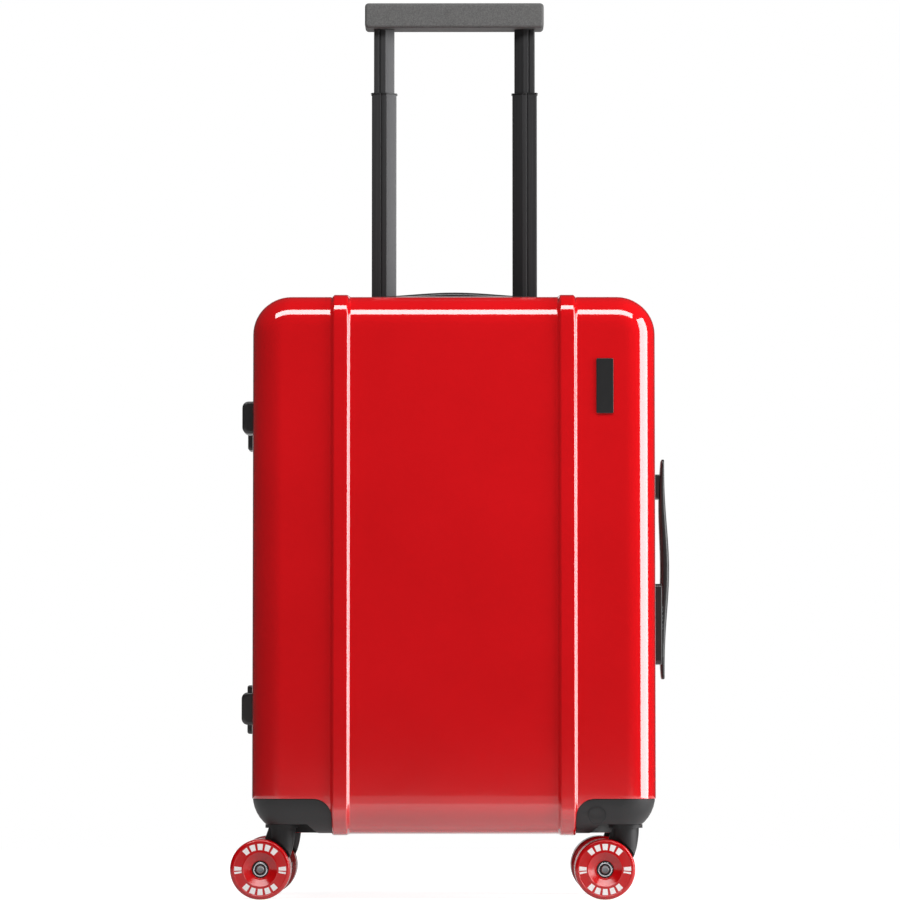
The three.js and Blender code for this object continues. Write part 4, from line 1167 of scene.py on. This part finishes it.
pucker = add_node(tree, "ShaderNodeTexNoise", {"Vector": place, "Scale": 22.0, "Detail": 2.0})
soft = add_node(tree, "ShaderNodeBump", {"Height": pucker.outputs["Fac"], "Strength": 0.5, "Distance": 0.002})
relief = add_node(
    tree, "ShaderNodeBump",
    {"Height": weave.outputs[0], "Strength": 0.4, "Distance": 0.0002, "Normal": soft.outputs["Normal"]},
)
tree.links.new(relief.outputs["Normal"], surface.inputs["Normal"])

# Knitted polyester mesh for the pocket: darker, with open cells 2 mm across.
mesh_cloth, tree, surface, place = new_finish("knitted_polyester_mesh", **{"Roughness": 0.8})
cells = add_node(tree, "ShaderNodeTexVoronoi", {"Vector": place, "Scale": 450.0, "Randomness": 0.25})
blacks = add_node(tree, "ShaderNodeValToRGB", {"Fac": cells.outputs["Distance"]})
blacks.color_ramp.elements[0].position = 0.3
blacks.color_ramp.elements[0].color = linear("#0C0C0D")
blacks.color_ramp.elements[1].position = 0.5
blacks.color_ramp.elements[1].color = linear("#3A3A3D")
tree.links.new(blacks.outputs["Color"], surface.inputs["Base Color"])
relief = add_node(
    tree, "ShaderNodeBump", {"Height": cells.outputs["Distance"], "Strength": 0.7, "Distance": 0.0004}
)
tree.links.new(relief.outputs["Normal"], surface.inputs["Normal"])

panel_low, panel_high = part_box("divider_panel")
panel_middle = (panel_low + panel_high) / 2
panel_half = (panel_high - panel_low) / 2


def panel(half_x, half_z, radius, low_y, high_y, centre_x=0, centre_z=0):
    """A flat panel across the case, with rounded corners, between two depths."""
    outline = rounded(half_x, half_z, radius, 8)
    return loft([[(centre_x + x, y, centre_z + z) for x, z in outline] for y in (low_y, high_y)])


def frame_ring(half_x, half_z, radius, width, low_y, high_y, centre_z):
    """A flat frame with rounded corners and an open middle."""
    rows = []
    for inset, y in [(0, low_y), (0, high_y), (width, high_y), (width, low_y)]:
        outline = rounded(half_x - inset, half_z - inset, radius - inset, 8)
        rows.append([(x, y, centre_z + z) for x, z in outline])
    return loft(rows, ring=True)


divider = solid(
    panel(panel_half.x, panel_half.z, 0.032, panel_low.y + 0.0004, panel_high.y - 0.0004, 0, panel_middle.z)
)
fit(divider, "divider_cloth", lining_cloth, "lid", ["divider_panel"], 0.0003)
POCKET_HALF_X = 0.15
POCKET_HALF_Z = 0.165
pocket_z = panel_middle.z - 0.03
pocket = solid(
    panel(POCKET_HALF_X, POCKET_HALF_Z, 0.02, panel_high.y - 0.0003, panel_high.y + 0.0006, 0, pocket_z)
)
fit(pocket, "divider_mesh_pocket", mesh_cloth, "lid")
trim = solid(
    frame_ring(0.154, 0.169, 0.024, 0.008, panel_high.y + 0.0007, panel_high.y + 0.0016, pocket_z),
    frame_ring(0.1795, 0.2415, 0.03, 0.007, panel_high.y + 0.0001, panel_high.y + 0.0011, panel_middle.z),
)
fit(trim, "divider_binding", tape_cloth, "lid", sharp=50)
pull = solid(
    panel(0.0035, 0.011, 0.0025, panel_high.y + 0.0018, panel_high.y + 0.0032, 0.12, pocket_z + 0.154)
)
fit(pull, "divider_pocket_pull", slider_black, "lid", sharp=40)

LINING_BACK = 0.068
LINING_MOUTH = 0.0105
lining_profile = [
    (0.016, LINING_BACK), (0.009, LINING_BACK - 0.0012), (0.004, LINING_BACK - 0.0045),
    (0.001, LINING_BACK - 0.01), (0, LINING_BACK - 0.018), (0, 0.034), (0, LINING_MOUTH),
]
lining_low, lining_high = 0.0735, case_top - 0.0056
lining_z, lining_half = (lining_low + lining_high) / 2, (lining_high - lining_low) / 2
lining_side = case_side - 0.0056
rows = []
for thick, order in [(0, 1), (0.0008, -1)]:
    layer = []
    for inset, y in lining_profile:
        drawn = inset + thick
        outline = rounded(lining_side - drawn, lining_half - drawn, 0.036 - drawn, 10)
        depth = y - (thick if y > 0.05 else 0)
        layer.append([(x, depth, lining_z + z) for x, z in outline])
    rows += layer[::order]
lining = fit(solid(loft(rows)), "rear_lining", lining_cloth, "root", sharp=50)

# Elastic webbing, 25 mm wide: near black and dull, with slanting ribs a few millimetres apart.
webbing, tree, surface, place = new_finish("elastic_webbing", **{"Roughness": 0.75, "Sheen Weight": 0.2})
cords = add_node(
    tree, "ShaderNodeTexWave", {"Vector": place, "Scale": 210.0, "Distortion": 0.5},
    bands_direction="DIAGONAL",
)
blacks = add_node(tree, "ShaderNodeValToRGB", {"Fac": cords.outputs["Fac"]})
blacks.color_ramp.elements[0].color = linear("#101011")
blacks.color_ramp.elements[1].color = linear("#2B2B2D")
tree.links.new(blacks.outputs["Color"], surface.inputs["Base Color"])
relief = add_node(
    tree, "ShaderNodeBump", {"Height": cords.outputs["Fac"], "Strength": 0.5, "Distance": 0.0003}
)
tree.links.new(relief.outputs["Normal"], surface.inputs["Normal"])

STRAP_WIDTH = 0.025
for name, slant, lift in [("rising", 1, 0.0), ("falling", -1, 0.0016)]:
    run = Vector((0.312, 0, slant * 0.372))
    beside = Vector((-run.z, 0, run.x)).normalized() * (STRAP_WIDTH / 2)
    rows = []
    for step in range(13):
        share = step / 12 - 0.5
        bow = lift * math.cos(share * math.pi) ** 2 + 0.0006
        centre = Vector((0, LINING_BACK - 0.0016 - bow, lining_z)) + run * share
        back = Vector((0, 0.0011, 0))
        rows.append([centre - beside, centre + beside, centre + beside + back, centre - beside + back])
    strap = fit(solid(loft(rows)), f"packing_strap_{name}", webbing, "root", sharp=50)
buckle = solid(
    panel(0.021, 0.026, 0.005, LINING_BACK - 0.0085, LINING_BACK - 0.005, 0, lining_z),
    panel(0.009, 0.02, 0.003, LINING_BACK - 0.0098, LINING_BACK - 0.0084, 0, lining_z),
)
fit(buckle, "strap_buckle", abs_black, "root", (), 0.0006)

# ---- Side feet ----
# Four black ABS bumpers on the left side, which the case rests on when it lies down. The front pair is
# rounder.

for depth_name, body, tip_radius in [("front", "lid", 0.0058), ("rear", "root", 0.0022)]:
    for level in ("upper", "lower"):
        node = f"side_foot_{depth_name}_{level}"
        low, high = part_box(node)
        half, middle = (high - low) / 2, (low + high) / 2
        rows = []
        for share in (-1, -0.985, -0.95, -0.9, 0.9, 0.95, 0.985, 1):
            rim = 0.0028 * (1 - math.sqrt(max(0, 1 - max(0, (abs(share) - 0.85) / 0.15) ** 2)))
            outline = [(half.x, half.z - rim)]
            for step in range(9):
                turn = math.pi / 2 * step / 8
                outline.append((
                    tip_radius - half.x - tip_radius * math.sin(turn) + rim,
                    half.z - tip_radius + tip_radius * math.cos(turn) - rim,
                ))
            outline += [(x, -z) for x, z in reversed(outline)]
            rows.append([(middle.x + x, middle.y + share * half.y, middle.z + z) for x, z in outline])
        bumper = solid(loft(rows))
        fit(bumper, f"bumper_{depth_name}_{level}", abs_black, body, [node], sharp=45)

# ---- Badge ----
# A plain black moulded plate with no lettering, stuck upright on the front face near its upper right corner.
# Its front edges are rounded.

low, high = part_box("badge")
half, middle = (high - low) / 2, (low + high) / 2
points, faces = side_slab((half.y, half.x, half.z), 0.0003, 0.0012, 3)
plate = [(-y, -x, z) for x, y, z in points], faces
fit(solid(placed(plate, middle)), "maker_plate", abs_black, "lid", ["badge"], sharp=45)

# ---- Studio ----
# A white floor and a white backdrop behind the case, one long softbox above and in front, and one tall
# softbox at the right.

# Backdrop paper: plain white where it is seen, mirrored or seen through, but it lights nothing.
paper, tree, surface, place = new_finish("white_backdrop_paper", **{"Roughness": 0.9})
tree.links.remove(surface.outputs["BSDF"].links[0])
rays = add_node(tree, "ShaderNodeLightPath")
seen = add_node(
    tree, "ShaderNodeMath",
    {0: rays.outputs["Is Camera Ray"], 1: rays.outputs["Is Glossy Ray"]}, operation="MAXIMUM",
)
seen = add_node(
    tree, "ShaderNodeMath", {0: seen.outputs[0], 1: rays.outputs["Is Transmission Ray"]}, operation="MAXIMUM"
)
glow = add_node(tree, "ShaderNodeEmission", {"Strength": seen.outputs[0], "Color": (1, 1, 1, 1)})
tree.links.new(glow.outputs["Emission"], tree.nodes["Material Output"].inputs["Surface"])
backdrop = solid(
    loft([[(-0.68, 2, -0.01), (0.68, 2, -0.01)], [(-0.68, 2, 1.35), (0.68, 2, 1.35)]], wrap=False, caps=False)
)
backdrop.name = "backdrop"
backdrop.data.materials.append(paper)

# Floor paint: matt and nearly white, lifted so that little but the case's soft shadow stays on it.
floor_paint, tree, surface, place = new_finish(
    "white_floor_paint", **{"Base Color": linear("#C8C8C8"), "Roughness": 0.6}
)
rays = add_node(tree, "ShaderNodeLightPath")
mirrored = add_node(
    tree, "ShaderNodeMath",
    {0: rays.outputs["Is Glossy Ray"], 1: rays.outputs["Is Transmission Ray"]}, operation="MAXIMUM",
)
dimmed = add_node(tree, "ShaderNodeMath", {0: mirrored.outputs[0], 1: 0.6}, operation="MULTIPLY")
seen = add_node(tree, "ShaderNodeMath", {0: rays.outputs["Is Camera Ray"], 1: 0.9}, operation="MULTIPLY")
lift = add_node(tree, "ShaderNodeMath", {0: seen.outputs[0], 1: dimmed.outputs[0]}, operation="MAXIMUM")
tree.links.new(lift.outputs[0], surface.inputs["Emission Strength"])
surface.inputs["Emission Color"].default_value = (1, 1, 1, 1)
floor = solid(loft([[(-4, -9, 0), (4, -9, 0)], [(-4, 2.4, 0), (4, 2.4, 0)]], wrap=False, caps=False))
floor.name = "floor"
floor.data.materials.append(floor_paint)

world = bpy.data.worlds.new("studio")
bpy.context.scene.world = world
world.use_nodes = True
tree = world.node_tree
tree.nodes.clear()
rays = add_node(tree, "ShaderNodeLightPath")
dim = add_node(tree, "ShaderNodeMix", {"Factor": rays.outputs["Is Camera Ray"]}, data_type="RGBA")
dim.inputs["A"].default_value = (0.045, 0.045, 0.045, 1)
dim.inputs["B"].default_value = (1, 1, 1, 1)
sky = add_node(tree, "ShaderNodeBackground", {"Color": dim.outputs["Result"], "Strength": 1.0})
add_node(tree, "ShaderNodeOutputWorld", {"Surface": sky.outputs["Background"]})


def softbox(name, centre, aim, width, height, radiance):
    """A rectangular lamp that faces a point. Its power gives it the same brightness whatever its size."""
    lamp = bpy.data.lights.new(name, "AREA")
    lamp.shape = "RECTANGLE"
    lamp.size = width
    lamp.size_y = height
    lamp.energy = radiance * width * height * math.pi
    holder = bpy.data.objects.new(name, lamp)
    holder.location = centre
    holder.rotation_euler = (Vector(aim) - Vector(centre)).to_track_quat("-Z", "Y").to_euler()
    holder.visible_camera = False
    bpy.context.scene.collection.objects.link(holder)
    return holder


def around(azimuth, elevation, distance):
    """A place seen from the middle of the case: azimuth is measured from the front towards the right."""
    a, e = math.radians(azimuth), math.radians(elevation)
    flat = distance * math.cos(e)
    return (flat * math.sin(a), -case_face - flat * math.cos(a), 0.45 + distance * math.sin(e))


softbox("top_softbox", around(0, 57, 1.7), (0, -case_face, 0.45), 2.6, 0.56, 9.0)
softbox("right_softbox", around(79, 0, 1.6), (0, -case_face, 0.45), 0.95, 2.2, 8.0)

camera = bpy.data.objects.new("camera", bpy.data.cameras.new("camera"))
camera.data.lens = 196
camera.data.sensor_width = 36
camera.location = (0.0115, -4.565, 0.14)
camera.rotation_euler = (math.radians(93.45), 0, math.radians(0.193))
bpy.context.scene.collection.objects.link(camera)
bpy.context.scene.camera = camera
bpy.context.scene.view_settings.view_transform = "Standard"
